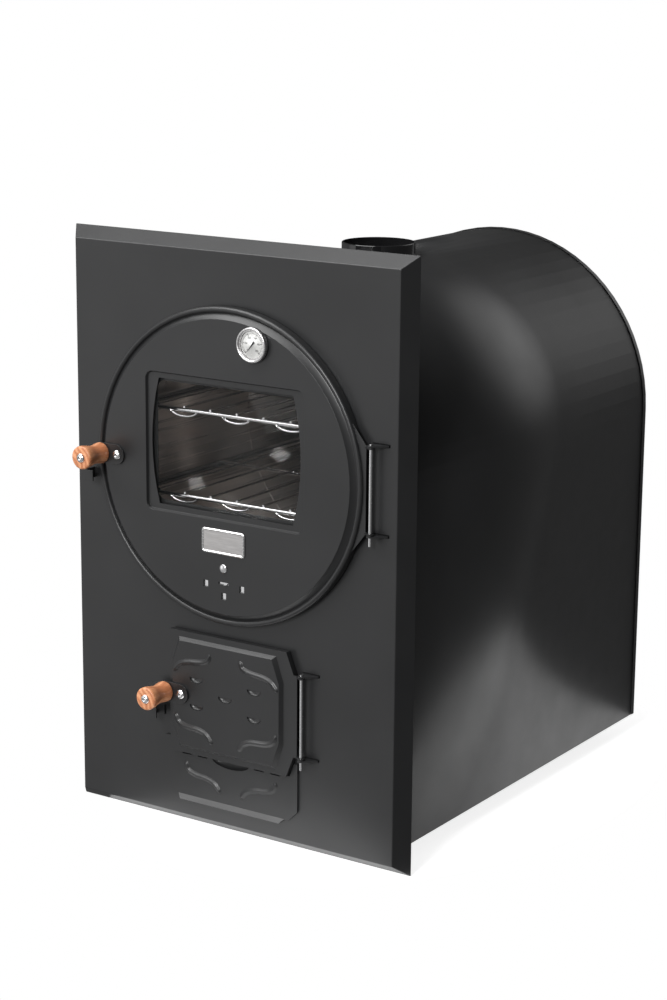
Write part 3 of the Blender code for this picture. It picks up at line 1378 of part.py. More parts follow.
def main():
    clear_scene()
    make_front_panel()
    make_casing()
    make_base()
    make_rear_cover()
    make_flue_collar()
    make_drum()
    make_drum_back()
    for level, height in zip(("upper", "lower"), RACK_HEIGHTS):
        make_rail(level + "_rail_left", -1, height)
        make_rail(level + "_rail_right", 1, height)
        rack = make_rack(level + "_rack", height)
        hang([rack], axis_empty(level + "_rack_slide", (0, rack_front_y(), OVEN_CENTRE_Z + height)))
    make_throat()
    make_guide("drawer_guide_left", -1)
    make_guide("drawer_guide_right", 1)
    make_grate()
    make_bricks()
    make_baffle()
    for prefix, hinge in zip(("oven", "fire"), HINGES):
        hinge_bracket(prefix + "_hinge_bracket", *hinge)
        hinge_pin(prefix + "_hinge_pin", *hinge)
    make_catch("oven", OVEN_LATCH_X, OVEN_CENTRE_Z - OVEN_LATCH_DROP, DOOR_PROUD)
    make_catch("fire", FIRE_LATCH_X, FIRE_MIDDLE_Z - FIRE_LATCH_DROP, FIRE_PROUD + FIRE_RAISE)

    oven_axis = axis_empty("oven_door_axis", (OVEN_PIN_X, OVEN_PIN_Y, OVEN_CENTRE_Z))
    door = [make_oven_door(), make_liner(), make_seal(), make_glass(), make_glass_frame(), make_badge()]
    thermometer = make_thermometer()
    damper = make_damper()
    door += thermometer + [damper, make_rivet()]
    oven_latch_z = OVEN_CENTRE_Z - OVEN_LATCH_DROP
    hang(door + make_latch("oven", OVEN_LATCH_X, oven_latch_z, DOOR_PROUD, SHEET), oven_axis)

    fire_axis = axis_empty("fire_door_axis", (FIRE_PIN_X, FIRE_PIN_Y, FIRE_MIDDLE_Z))
    fire = [make_fire_door()] + make_fire_shield()
    fire_latch_z = FIRE_MIDDLE_Z - FIRE_LATCH_DROP
    hang(fire + make_latch("fire", FIRE_LATCH_X, fire_latch_z, FIRE_PROUD + FIRE_RAISE, SHEET), fire_axis)

    drawer = [make_ash_front(), make_ash_pan()]
    hang(drawer, axis_empty("ash_drawer_slide", (0, FACE_Y, GUIDE_LEDGE_Z)))


main()
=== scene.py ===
import math

import bmesh
import bpy
from mathutils import Matrix, Vector


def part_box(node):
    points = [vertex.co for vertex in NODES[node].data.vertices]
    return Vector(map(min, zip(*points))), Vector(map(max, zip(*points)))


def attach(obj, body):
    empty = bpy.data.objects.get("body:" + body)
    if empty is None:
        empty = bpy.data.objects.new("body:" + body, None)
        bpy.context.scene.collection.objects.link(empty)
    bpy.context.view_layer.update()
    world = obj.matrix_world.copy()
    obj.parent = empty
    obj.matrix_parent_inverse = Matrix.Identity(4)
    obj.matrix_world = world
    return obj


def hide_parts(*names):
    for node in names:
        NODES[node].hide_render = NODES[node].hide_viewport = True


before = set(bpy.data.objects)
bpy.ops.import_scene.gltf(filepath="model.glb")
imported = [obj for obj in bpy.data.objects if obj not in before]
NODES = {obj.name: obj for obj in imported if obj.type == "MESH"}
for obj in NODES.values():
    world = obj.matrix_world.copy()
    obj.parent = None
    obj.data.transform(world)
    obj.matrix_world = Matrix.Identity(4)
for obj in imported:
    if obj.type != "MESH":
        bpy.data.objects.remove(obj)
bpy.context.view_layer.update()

MM = 0.001


# Planes and middles read from the frame

PANEL_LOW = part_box("front_panel")[0]
DRUM_LOW, DRUM_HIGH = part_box("oven_drum")
FACE_Y = PANEL_LOW.y                   # front of the front panel
OVEN_Z = (DRUM_LOW.z + DRUM_HIGH.z) / 2
GAP = 0.3 * MM                         # between pieces that lie on each other


def proud(distance):
    """The plane that lies this far in front of the panel's face."""
    return FACE_Y - distance


# Plain node helpers for materials

NOISE_LOW, NOISE_HIGH = 0.3, 0.7       # where most of a noise's values lie


def new_material(name):
    made = bpy.data.materials.new(name)
    made.use_nodes = True
    tree = made.node_tree
    return made, tree, tree.nodes["Principled BSDF"]


def coords(tree, scale=(1, 1, 1), shift=(0, 0, 0)):
    """Places in metres of the row frame, moved and then stretched."""
    source = tree.nodes.new("ShaderNodeTexCoord")
    mapping = tree.nodes.new("ShaderNodeMapping")
    mapping.inputs["Scale"].default_value = scale
    mapping.inputs["Location"].default_value = tuple(s * k for s, k in zip(shift, scale))
    tree.links.new(source.outputs["Object"], mapping.inputs["Vector"])
    return mapping.outputs["Vector"]


def noise(tree, place, scale, detail=3.0, rough=0.5):
    node = tree.nodes.new("ShaderNodeTexNoise")
    node.inputs["Scale"].default_value = scale
    node.inputs["Detail"].default_value = detail
    node.inputs["Roughness"].default_value = rough
    tree.links.new(place, node.inputs["Vector"])
    return node.outputs["Fac"]


def ramp(tree, value, *stops):
    """Colour ramp over a value; stops are (position, colour)."""
    node = tree.nodes.new("ShaderNodeValToRGB")
    elements = node.color_ramp.elements
    while len(elements) < len(stops):
        elements.new(0.5)
    for element, (position, colour) in zip(elements, stops):
        element.position = position
        element.color = (*colour, 1)
    tree.links.new(value, node.inputs["Fac"])
    return node.outputs["Color"]


def map_range(tree, value, from_low, from_high, to_low, to_high):
    node = tree.nodes.new("ShaderNodeMapRange")
    sockets = ("From Min", "From Max", "To Min", "To Max")
    for socket, number in zip(sockets, (from_low, from_high, to_low, to_high)):
        node.inputs[socket].default_value = number
    tree.links.new(value, node.inputs["Value"])
    return node


def spread(tree, value, low, high):
    """Map the middle of a noise to a range."""
    return map_range(tree, value, NOISE_LOW, NOISE_HIGH, low, high).outputs["Result"]


def wave(tree, place, **values):
    """Wave texture with its sockets set by name."""
    node = tree.nodes.new("ShaderNodeTexWave")
    for key, number in values.items():
        node.inputs[key.replace("_", " ").title()].default_value = number
    tree.links.new(place, node.inputs["Vector"])
    return node


def multiply(tree, one, two, share):
    mix = tree.nodes.new("ShaderNodeMix")
    mix.data_type = "RGBA"
    mix.blend_type = "MULTIPLY"
    mix.inputs["Factor"].default_value = share
    tree.links.new(one, mix.inputs["A"])
    tree.links.new(two, mix.inputs["B"])
    return mix.outputs["Result"]


def bump(tree, shader, height, strength, distance):
    node = tree.nodes.new("ShaderNodeBump")
    node.inputs["Strength"].default_value = strength
    node.inputs["Distance"].default_value = distance
    tree.links.new(height, node.inputs["Height"])
    tree.links.new(node.outputs["Normal"], shader.inputs["Normal"])


def tinted(colour, factor):
    return tuple(c * factor for c in colour)


# Materials

def paint(name, colour, gloss, grain, sheen):
    """Black paint with a fine orange-peel skin and a faint cloudy change of gloss."""
    made, tree, shader = new_material(name)
    place = coords(tree)
    cloud = noise(tree, place, scale=6.0, detail=4.0)
    patch = noise(tree, place, scale=14.0, detail=5.0)
    peel = noise(tree, place, scale=900.0, detail=2.0)
    shader.inputs["Specular IOR Level"].default_value = sheen
    tree.links.new(ramp(tree, cloud, (NOISE_LOW, tinted(colour, 0.85)), (NOISE_HIGH, tinted(colour, 1.15))),
                   shader.inputs["Base Color"])
    tree.links.new(spread(tree, patch, gloss - 0.03, gloss + 0.04), shader.inputs["Roughness"])
    bump(tree, shader, peel, strength=grain, distance=0.4 * MM)
    return made


def steel(name, colour, gloss, stretch=(1, 1, 1), grain=0.05, scale=500.0):
    """Bare metal, streaked along the axes that stretch keeps low."""
    made, tree, shader = new_material(name)
    shader.inputs["Metallic"].default_value = 1.0
    streak = noise(tree, coords(tree, stretch), scale)
    tree.links.new(ramp(tree, streak, (NOISE_LOW, tinted(colour, 0.8)), (NOISE_HIGH, colour)),
                   shader.inputs["Base Color"])
    tree.links.new(spread(tree, streak, gloss * 0.7, gloss * 1.3), shader.inputs["Roughness"])
    bump(tree, shader, streak, strength=grain, distance=0.2 * MM)
    return made


def lining(name):
    """Blued steel of the drum: long streaks from front to back over slow brown and grey clouds."""
    made, tree, shader = new_material(name)
    shader.inputs["Metallic"].default_value = 0.45
    streak = noise(tree, coords(tree, (1, 0.02, 1)), scale=60.0, detail=4.0, rough=0.55)
    cloud = noise(tree, coords(tree, (1, 0.35, 1)), scale=7.0)
    lines = ramp(tree, streak, (0.3, (0.62, 0.6, 0.58)), (0.5, (0.8, 0.78, 0.76)), (0.72, (0.95, 0.92, 0.89)))
    hues = ramp(tree, cloud, (0.35, (0.72, 0.7, 0.7)), (0.65, (0.9, 0.8, 0.74)))
    tree.links.new(multiply(tree, lines, hues, share=0.9), shader.inputs["Base Color"])
    tree.links.new(spread(tree, streak, low=0.2, high=0.36), shader.inputs["Roughness"])
    bump(tree, shader, streak, strength=0.2, distance=0.4 * MM)
    return made


def wood(name, centre):
    """Turned reddish wood, its grain running along the grip."""
    made, tree, shader = new_material(name)
    pith = (30 * MM - centre[0], 0, 20 * MM - centre[2])
    place = coords(tree, (1, 0.12, 1), pith)
    growth = wave(tree, place, scale=38.0, distortion=4.0, detail=3.0, detail_scale=1.6)
    growth.wave_type = "RINGS"
    growth.rings_direction = "Y"
    rings = ramp(tree, growth.outputs["Fac"], (0.0, (0.5, 0.19, 0.085)), (0.55, (0.66, 0.29, 0.14)),
                 (1.0, (0.74, 0.36, 0.19)))
    fibres = noise(tree, coords(tree, (1, 0.06, 1)), scale=900.0, detail=4.0)
    pores = ramp(tree, fibres, (0.35, (0.74, 0.66, 0.62)), (0.62, (1, 1, 1)))
    tree.links.new(multiply(tree, rings, pores, share=0.7), shader.inputs["Base Color"])
    shader.inputs["Roughness"].default_value = 0.4
    bump(tree, shader, growth.outputs["Fac"], strength=0.1, distance=0.4 * MM)
    return made


def glass(name, alpha):
    """Clear pane: seen through, with a faintly smeared skin that still reflects."""
    made, tree, shader = new_material(name)
    smear = noise(tree, coords(tree), scale=9.0, detail=4.0)
    tree.links.new(ramp(tree, smear, (NOISE_LOW, (0.04, 0.042, 0.042)), (NOISE_HIGH, (0.06, 0.062, 0.062))),
                   shader.inputs["Base Color"])
    tree.links.new(spread(tree, smear, low=0.03, high=0.07), shader.inputs["Roughness"])
    shader.inputs["Alpha"].default_value = alpha
    return made


def rope(name):
    """Grey braided glass-fibre rope."""
    made, tree, shader = new_material(name)
    braid = wave(tree, coords(tree), scale=140.0, distortion=2.0, detail=2.0)
    braid.bands_direction = "DIAGONAL"
    tree.links.new(ramp(tree, braid.outputs["Fac"], (0.2, (0.2, 0.195, 0.18)), (0.8, (0.5, 0.49, 0.45))),
                   shader.inputs["Base Color"])
    shader.inputs["Roughness"].default_value = 0.95
    bump(tree, shader, braid.outputs["Fac"], strength=0.7, distance=1.2 * MM)
    return made


def grainy(name, *stops, scale, gloss, depth, metal=0.0):
    """Rough stuff with grains, such as firebrick, cast iron, printed plate or ink."""
    made, tree, shader = new_material(name)
    grains = noise(tree, coords(tree), scale, detail=6.0, rough=0.65)
    tree.links.new(ramp(tree, grains, *stops), shader.inputs["Base Color"])
    shader.inputs["Metallic"].default_value = metal
    shader.inputs["Roughness"].default_value = gloss
    bump(tree, shader, grains, strength=0.5, distance=depth)
    return made


PAINT = paint("satin_black_paint", (0.014, 0.0142, 0.0148), gloss=0.36, grain=0.05, sheen=0.5)
ENAMEL = paint("gloss_black_enamel", (0.008, 0.008, 0.0085), gloss=0.1, grain=0.02, sheen=0.5)
BRIGHT = steel("bright_steel", (0.86, 0.86, 0.87), gloss=0.22)
BADGE = steel("brushed_badge", (0.6, 0.585, 0.58), gloss=0.4, stretch=(0.06, 1, 1), grain=0.12,
              scale=900.0)
RIM = steel("polished_rim", (0.92, 0.92, 0.92), gloss=0.26)
BEZEL = steel("turned_bezel", (0.8, 0.79, 0.79), gloss=0.3)
CHROME = steel("chrome_wire", (0.92, 0.92, 0.93), gloss=0.12, grain=0.01)
LINING = lining("drum_lining")
PAN_STEEL = steel("galvanised_pan", (0.6, 0.61, 0.62), gloss=0.38, scale=60.0)
GLASS = glass("clear_pane", alpha=0.1)
LENS = glass("clear_lens", alpha=0.03)
ROPE = rope("braided_seal")
BRICK = grainy("refractory_board", (0.3, (0.42, 0.31, 0.18)), (0.5, (0.6, 0.47, 0.3)),
               (0.75, (0.7, 0.6, 0.42)), scale=160.0, gloss=0.92, depth=1.5 * MM)
IRON = grainy("rough_cast_iron", (0.3, (0.03, 0.03, 0.031)), (0.75, (0.075, 0.073, 0.07)),
              scale=420.0, gloss=0.68, depth=0.8 * MM, metal=0.5)
DIAL = grainy("dial_white", (0.3, (0.84, 0.84, 0.82)), (0.7, (0.9, 0.9, 0.88)),
              scale=120.0, gloss=0.45, depth=0.02 * MM)
INK = grainy("dial_ink", (0.3, (0.01, 0.01, 0.011)), (0.7, (0.02, 0.02, 0.021)),
             scale=200.0, gloss=0.4, depth=0.02 * MM)


# Mesh helpers

def mesh_of(name, points, faces):
    mesh = bpy.data.meshes.new(name)
    mesh.from_pydata([tuple(p) for p in points], [], faces)
    work = bmesh.new()
    work.from_mesh(mesh)
    bmesh.ops.recalc_face_normals(work, faces=work.faces)
    work.to_mesh(mesh)
    work.free()
    return mesh


def put(name, mesh, material, body, sharp=35):
    """Link a mesh as one smooth-shaded piece that rides on a body."""
    item = bpy.data.objects.new(name, mesh)
    bpy.context.scene.collection.objects.link(item)
    mesh.materials.append(material)
    mesh.shade_smooth()
    mesh.set_sharp_from_angle(angle=math.radians(sharp))
    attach(item, body)
    return item


def arc(x, z, radius, start_deg, end_deg, count):
    out = []
    for i in range(count + 1):
        angle = math.radians(start_deg + (end_deg - start_deg) * i / count)
        out.append((x + radius * math.cos(angle), z + radius * math.sin(angle)))
    return out


def rounded(x, z, half_width, half_height, corner, steps):
    """A rectangle round (x, z) with rounded corners."""
    out = []
    for sign_x, sign_z, start in ((1, 1, 0), (-1, 1, 90), (-1, -1, 180), (1, -1, 270)):
        cx, cz = x + sign_x * (half_width - corner), z + sign_z * (half_height - corner)
        out += arc(cx, cz, corner, start, start + 90, steps)
    return out


HEXAGON = 6
BEAD_SHARP = 80                        # degrees; keeps a bead's skin smooth


def lathe(name, profile, centre, count):
    """Mesh turned round Y. The profile is (radius, distance to the front).
    A third item gives a ring that many flat sides. A profile clear of the axis is closed to a loop."""
    points, rings = [], []
    for step in profile:
        radius, height = step[:2]
        rings.append(range(len(points), len(points) + (count if radius else 1)))
        for i in range(count if radius else 1):
            angle = math.tau * i / count
            reach = radius
            if len(step) > 2:
                half_side = math.pi / step[2]
                reach = radius / math.cos((angle + half_side) % (2 * half_side) - half_side)
            points.append((centre[0] + reach * math.cos(angle), centre[1] - height,
                           centre[2] + reach * math.sin(angle)))
    pairs = list(zip(rings, rings[1:]))
    if profile[0][0]:
        pairs.append((rings[-1], rings[0]))
    faces = []
    for lower, upper in pairs:
        for i in range(count):
            j = (i + 1) % count
            if len(lower) == 1:
                faces.append([lower[0], upper[i], upper[j]])
            elif len(upper) == 1:
                faces.append([lower[i], lower[j], upper[0]])
            else:
                faces.append([lower[i], lower[j], upper[j], upper[i]])
    return mesh_of(name, points, faces)


def rings_mesh(name, rings, closed):
    """Mesh through rings with the same number of points, with end caps unless closed."""
    count = len(rings[0])
    points = [p for ring in rings for p in ring]
    faces = []
    for r in range(len(rings) if closed else len(rings) - 1):
        a, b = r * count, (r + 1) % len(rings) * count
        for i in range(count):
            j = (i + 1) % count
            faces.append([a + i, a + j, b + j, b + i])
    if not closed:
        faces += [list(range(count)), list(range(len(points) - count, len(points)))]
    return mesh_of(name, points, faces)


def smooth_path(path, rounds=3):
    """Round the corners of a path by cutting them, and keep its ends."""
    path = [Vector(p) for p in path]
    for _ in range(rounds):
        out = [path[0]]
        for a, b in zip(path, path[1:]):
            out += [a.lerp(b, 0.25), a.lerp(b, 0.75)]
        path = out + [path[-1]]
    return path


def direction(path, i, closed):
    """Way along a path at its point i."""
    before = path[i - 1] if i or closed else path[i]
    after = path[(i + 1) % len(path)] if i + 1 < len(path) or closed else path[i]
    return (after - before).normalized()


def tube(name, path, radius, closed=False, sides=12):
    """Round wire along a path of 3-D points."""
    path = [Vector(p) for p in path]
    rings = []
    side = None
    for i, place in enumerate(path):
        way = direction(path, i, closed)
        if side is None:
            side = way.orthogonal().normalized()
        side = (side - way * side.dot(way)).normalized()
        other = way.cross(side)
        rings.append([place + radius * (math.cos(a) * side + math.sin(a) * other)
                      for a in (math.tau * k / sides for k in range(sides))])
    return rings_mesh(name, rings, closed)


BEAD_TAPER = 6 * MM                    # length of a bead's rounded ends
BEAD_SKIN = 0.02 * MM                  # a bead's edge above its plate
BEAD_ROOT = 0.2 * MM                   # how deep a bead reaches into its plate


def bead(name, path, width, height, level, closed=False, sides=12):
    """Pressed rib along an (x, z) path: its skin leaves the plate at level without a crease."""
    path = [Vector(p) for p in path]
    lengths = [0.0]
    for a, b in zip(path, path[1:]):
        lengths.append(lengths[-1] + (b - a).length)
    rings = []
    for i, place in enumerate(path):
        way = direction(path, i, closed)
        across = Vector((-way.y, way.x))
        share = 1.0
        if not closed:
            to_end = min(lengths[i], lengths[-1] - lengths[i]) + BEAD_SKIN
            share = math.sqrt(1 - (1 - min(1.0, to_end / BEAD_TAPER)) ** 2)
        ring = []
        for k in range(sides + 1):
            u = -1 + 2 * k / sides
            spot = place + across * (u * width / 2 * share)
            lift = height * share * (1 + math.cos(math.pi * u)) / 2
            ring.append((spot.x, proud(level + lift + BEAD_SKIN), spot.y))
        for u in (1, -1):
            spot = place + across * (u * width / 2 * share)
            ring.append((spot.x, proud(level - BEAD_ROOT), spot.y))
        rings.append(ring)
    return rings_mesh(name, rings, closed)


def dense(path, step, closed=False):
    """Points at even distances along a path."""
    out = []
    ends = path[1:] + path[:1] if closed else path[1:]
    for a, b in zip(path, ends):
        a, b = Vector(a), Vector(b)
        count = max(1, round((b - a).length / step))
        out += [a.lerp(b, i / count) for i in range(count)]
    return out if closed else out + [Vector(path[-1])]


WELD_REACH = 0.01 * MM


def dress(material, *names, width=0.0, segments=2, angle=30):
    """Give CAD nodes a material, even shading and slightly rounded edges."""
    for name in names:
        item = NODES[name]
        mesh = item.data
        if "custom_normal" in mesh.attributes:
            mesh.attributes.remove(mesh.attributes["custom_normal"])
        mesh.materials.clear()
        mesh.materials.append(material)
        mesh.polygons.foreach_set("use_smooth", [True] * len(mesh.polygons))
        weld = item.modifiers.new("weld", "WELD")
        weld.merge_threshold = WELD_REACH
        if width:
            edge = item.modifiers.new("edge", "BEVEL")
            edge.width = width
            edge.segments = segments
            edge.limit_method = "ANGLE"
            edge.angle_limit = math.radians(angle)
            edge.harden_normals = True
        else:
            mesh.set_sharp_from_angle(angle=math.radians(angle))


# Camera and light

CAMERA_PLACE = (1.9378, -3.0571, 1.2785)
CAMERA_YAW, CAMERA_PITCH, CAMERA_ROLL = 0.58509, 0.23668, 0.00843  # to the left, down, clockwise; radians
CAMERA_LENS, CAMERA_SENSOR = 84.46, 36
CAMERA_NEAR, CAMERA_FAR = 0.05, 90


def camera():
    """The photograph's view, found by fitting a pinhole to the panel and the casing."""
    level = Vector((-math.sin(CAMERA_YAW), math.cos(CAMERA_YAW), 0))
    forward = level * math.cos(CAMERA_PITCH) - Vector((0, 0, math.sin(CAMERA_PITCH)))
    right = Vector((math.cos(CAMERA_YAW), math.sin(CAMERA_YAW), 0))
    up = right.cross(forward)
    cosine, sine = math.cos(CAMERA_ROLL), math.sin(CAMERA_ROLL)
    turn = Matrix((cosine * right + sine * up, cosine * up - sine * right, -forward)).transposed().to_4x4()
    data = bpy.data.cameras.new("camera")
    data.lens = CAMERA_LENS
    data.sensor_width = CAMERA_SENSOR
    data.clip_start, data.clip_end = CAMERA_NEAR, CAMERA_FAR
    item = bpy.data.objects.new("camera", data)
    item.matrix_world = Matrix.Translation(CAMERA_PLACE) @ turn
    bpy.context.scene.collection.objects.link(item)
    bpy.context.scene.camera = item


def area(name, place, target, size, power):
    """Soft square light that the camera doesn't see."""
    data = bpy.data.lights.new(name, "AREA")
    data.shape = "RECTANGLE"
    data.size, data.size_y = size, size
    data.energy = power
    lamp = bpy.data.objects.new(name, data)
    lamp.location = place
    lamp.rotation_mode = "QUATERNION"
    lamp.rotation_quaternion = (Vector(target) - Vector(place)).to_track_quat("-Z", "Y")
    lamp.visible_camera = False
    bpy.context.scene.collection.objects.link(lamp)


def lobe(tree, towards, inner_deg, outer_deg, strength):
    """Glow of the surround round one direction, full within one angle and gone outside the other."""
    place = tree.nodes.new("ShaderNodeTexCoord")
    dot = tree.nodes.new("ShaderNodeVectorMath")
    dot.operation = "DOT_PRODUCT"
    dot.inputs[1].default_value = Vector(towards).normalized()
    tree.links.new(place.outputs["Generated"], dot.inputs[0])
    outer, inner = math.cos(math.radians(outer_deg)), math.cos(math.radians(inner_deg))
    fade = map_range(tree, dot.outputs["Value"], outer, inner, 0, strength)
    fade.interpolation_type = "SMOOTHSTEP"
    return fade.outputs["Result"]


FLOOR_MIDDLE, FLOOR_HALF = (0.03, 0.02), (0.4, 0.56)
FLOOR_DROP = 0.5 * MM                  # below the oven's lowest point
FLOOR_SIDES = 96
FLOOR_GLOW = 0.8
SURROUND_GLOW = 0.09
WHITE = (1, 1, 1)
LAMPS = (
    # name, place, target, size, power
    ("overhead", (-2.8, -3.2, 7.2), (0, -0.3, 0.4), 7.0, 850),
    ("front_soft", (0.9, -6.0, 2.9), (0, 0, 0.5), 1.5, 260),
)
LOBES = (
    # direction, full within, gone outside, strength
    ((-0.538, -0.81, -0.23), 25, 95, 0.26),
    ((0, 0, -1), 60, 100, 0.05),
    ((-0.75, -0.65, 0.05), 5, 30, 0.9),
    ((0.35, 0.85, 0.4), 3, 31, 1.25),
)


def floor():
    """Pale oval just under the oven; further out the surround takes over its white."""
    z = PANEL_LOW.z - FLOOR_DROP
    points = []
    for x, y in arc(0, 0, 1, 0, 360, FLOOR_SIDES)[:-1]:
        points.append((FLOOR_MIDDLE[0] + FLOOR_HALF[0] * x, FLOOR_MIDDLE[1] + FLOOR_HALF[1] * y, z))
    mesh = mesh_of("floor", points, [list(range(FLOOR_SIDES))])
    item = bpy.data.objects.new("floor", mesh)
    bpy.context.scene.collection.objects.link(item)
    made, tree, shader = new_material("pale_floor")
    cloud = noise(tree, coords(tree), scale=3.0)
    tree.links.new(ramp(tree, cloud, (NOISE_LOW, (0.8, 0.8, 0.8)), (NOISE_HIGH, (0.82, 0.82, 0.82))),
                   shader.inputs["Base Color"])
    shader.inputs["Roughness"].default_value = 1.0
    shader.inputs["Specular IOR Level"].default_value = 0.0
    shader.inputs["Emission Color"].default_value = (*WHITE, 1)
    shader.inputs["Emission Strength"].default_value = FLOOR_GLOW
    mesh.materials.append(made)


def surround():
    """White to the camera; to everything else, a dim room with soft glows on a few sides."""
    world = bpy.data.worlds.new("surround")
    bpy.context.scene.world = world
    world.use_nodes = True
    tree = world.node_tree
    total = None
    for values in LOBES:
        join = tree.nodes.new("ShaderNodeMath")
        join.inputs[1].default_value = SURROUND_GLOW
        tree.links.new(lobe(tree, *values), join.inputs[0])
        if total:
            tree.links.new(total, join.inputs[1])
        total = join.outputs["Value"]
    room = tree.nodes["Background"]
    room.inputs["Color"].default_value = (*WHITE, 1)
    tree.links.new(total, room.inputs["Strength"])
    backdrop = tree.nodes.new("ShaderNodeBackground")
    backdrop.inputs["Color"].default_value = (*WHITE, 1)
    path = tree.nodes.new("ShaderNodeLightPath")
    mix = tree.nodes.new("ShaderNodeMixShader")
    tree.links.new(path.outputs["Is Camera Ray"], mix.inputs["Fac"])
    tree.links.new(room.outputs["Background"], mix.inputs[1])
    tree.links.new(backdrop.outputs["Background"], mix.inputs[2])
    tree.links.new(mix.outputs["Shader"], tree.nodes["World Output"].inputs["Surface"])


bpy.context.scene.view_settings.view_transform = "Standard"
camera()
floor()
for lamp in LAMPS:
    area(*lamp)
surround()


# CAD nodes that keep their shape

dress(PAINT, "front_panel", width=1.2 * MM, segments=3, angle=25)
dress(PAINT, "outer_casing")
dress(PAINT, "base_plate", "rear_cover", width=0.4 * MM)
dress(ENAMEL, "flue_collar", width=0.4 * MM)
dress(LINING, "oven_drum", "drum_back")
dress(CHROME, "upper_rail_left", "upper_rail_right", "lower_rail_left", "lower_rail_right", width=0.2 * MM)
dress(PAINT, "fire_throat", "drawer_guide_left", "drawer_guide_right", "oven_latch_catch", "fire_latch_catch",
      "oven_hinge_bracket", "fire_hinge_bracket", width=0.3 * MM)
dress(PAINT, "oven_door_panel", width=0.9 * MM, segments=3)
dress(PAINT, "oven_door_liner", "glass_frame", "fire_door_shield", width=0.3 * MM)
dress(PAINT, "fire_door_panel", "ash_drawer_front", width=0.5 * MM, segments=3, angle=28)
dress(PAINT, "oven_latch_lever", "fire_latch_lever", width=0.5 * MM)
dress(BRIGHT, "oven_hinge_pin", "fire_hinge_pin", "thermometer_nut", "air_damper", "damper_rivet",
      "shield_stud_left", "shield_stud_right", width=0.2 * MM)
dress(PAN_STEEL, "ash_pan", width=0.3 * MM)
dress(BADGE, "badge_plate", width=0.3 * MM)
dress(IRON, "fire_grate", "flame_baffle", width=0.5 * MM)
dress(BRICK, "fire_brick_left", "fire_brick_right", "fire_brick_back", width=1 * MM)
dress(GLASS, "door_glass")
dress(LENS, "thermometer_lens")
dress(ROPE, "door_seal")
dress(DIAL, "thermometer_dial")
dress(INK, "thermometer_needle")


# Pressed ribs of the fire door and of the ash drawer

RIB_WIDTH = 9.5 * MM
RIB_HEIGHT = 2.6 * MM
RIB_STEP = 1.2 * MM
FIRE_FACE = 16.7 * MM                  # raised middle of the fire door in front of the panel
ASH_FACE = 3.2 * MM                    # ash drawer's plate in front of the panel
RIBS = {
    # name: body, plate's face, middle line of the right-hand rib as (x, z) in mm
    "fire_rib_top": ("fire_door", FIRE_FACE, ((27, 251), (32.5, 235.5), (79.5, 232), (94, 215.5))),
    "fire_rib_bottom": ("fire_door", FIRE_FACE, ((91.6, 149), (82.7, 131.4), (36.4, 130), (23.7, 112))),
    "ash_rib": ("ash_drawer", ASH_FACE, ((82.4, 71), (77, 53.4), (32, 50), (18.4, 33))),
}


def make_ribs():
    for name, (body, level, path) in RIBS.items():
        for side, sign in (("left", -1), ("right", 1)):
            line = smooth_path([(sign * x * MM, z * MM) for x, z in path])
            mesh = bead(name, dense(line, RIB_STEP), RIB_WIDTH, RIB_HEIGHT, level)
            put(f"{name}_{side}", mesh, PAINT, body, sharp=BEAD_SHARP)


# Badge's raised polished border

BORDER_WIDTH = 3.6 * MM
BORDER_HEIGHT = 1.1 * MM
BORDER_INSET = 1.9 * MM                # from the plate's edge to the border's middle line
BORDER_CORNER = 3.6 * MM
BORDER_STEP = 2 * MM


def make_badge_border():
    low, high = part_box("badge_plate")
    middle, half = (low + high) / 2, (high - low) / 2
    line = rounded(middle.x, middle.z, half.x - BORDER_INSET, half.z - BORDER_INSET, BORDER_CORNER, steps=6)
    mesh = bead("badge_border", dense(line, BORDER_STEP, closed=True), BORDER_WIDTH, BORDER_HEIGHT,
                FACE_Y - low.y, closed=True)
    put("badge_border", mesh, RIM, "oven_door", sharp=BEAD_SHARP)


# Screws: button heads with hexagon sockets

HEAD_RADIUS, HEAD_HEIGHT = 7 * MM, 3.2 * MM
HEAD_ANGLES = (0, 0.3, 0.6, 0.9, 1.15)  # places round the head's curve, in radians
HEAD_TOP_SHARE = 0.97
SOCKET_RIM, SOCKET_HALF = 2.7 * MM, 2.2 * MM
SOCKET_CHAMFER, SOCKET_WALL, SOCKET_END = 0.3 * MM, 2 * MM, 2.4 * MM
SHANK_RADIUS = 3 * MM
NUT_HALF, NUT_HEIGHT = 6 * MM, 4 * MM
SCREW_SIDES = 48


def button_head():
    """Profile from the head's edge, which sits on the seat, to the bottom of the socket."""
    head = [(HEAD_RADIUS * math.cos(a), HEAD_HEIGHT * math.sin(a)) for a in HEAD_ANGLES]
    top = HEAD_HEIGHT * HEAD_TOP_SHARE
    return head + [(SOCKET_RIM, top), (SOCKET_HALF, top - SOCKET_CHAMFER, HEXAGON),
                   (SOCKET_HALF, top - SOCKET_WALL, HEXAGON), (0, top - SOCKET_END)]


def make_screw(name, node, seat, body, with_nut):
    low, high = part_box(node)
    back = seat - high.y
    if with_nut:
        neck = back + NUT_HEIGHT
        profile = [(0, back), (NUT_HALF, back, HEXAGON), (NUT_HALF, neck, HEXAGON), (SHANK_RADIUS, neck)]
    else:
        profile = [(0, back), (SHANK_RADIUS, back)]
    profile += [(SHANK_RADIUS, 0)] + button_head()
    centre = ((low.x + high.x) / 2, seat, (low.z + high.z) / 2)
    item = put(name, lathe(name, profile, centre, SCREW_SIDES), BRIGHT, body)
    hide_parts(node)


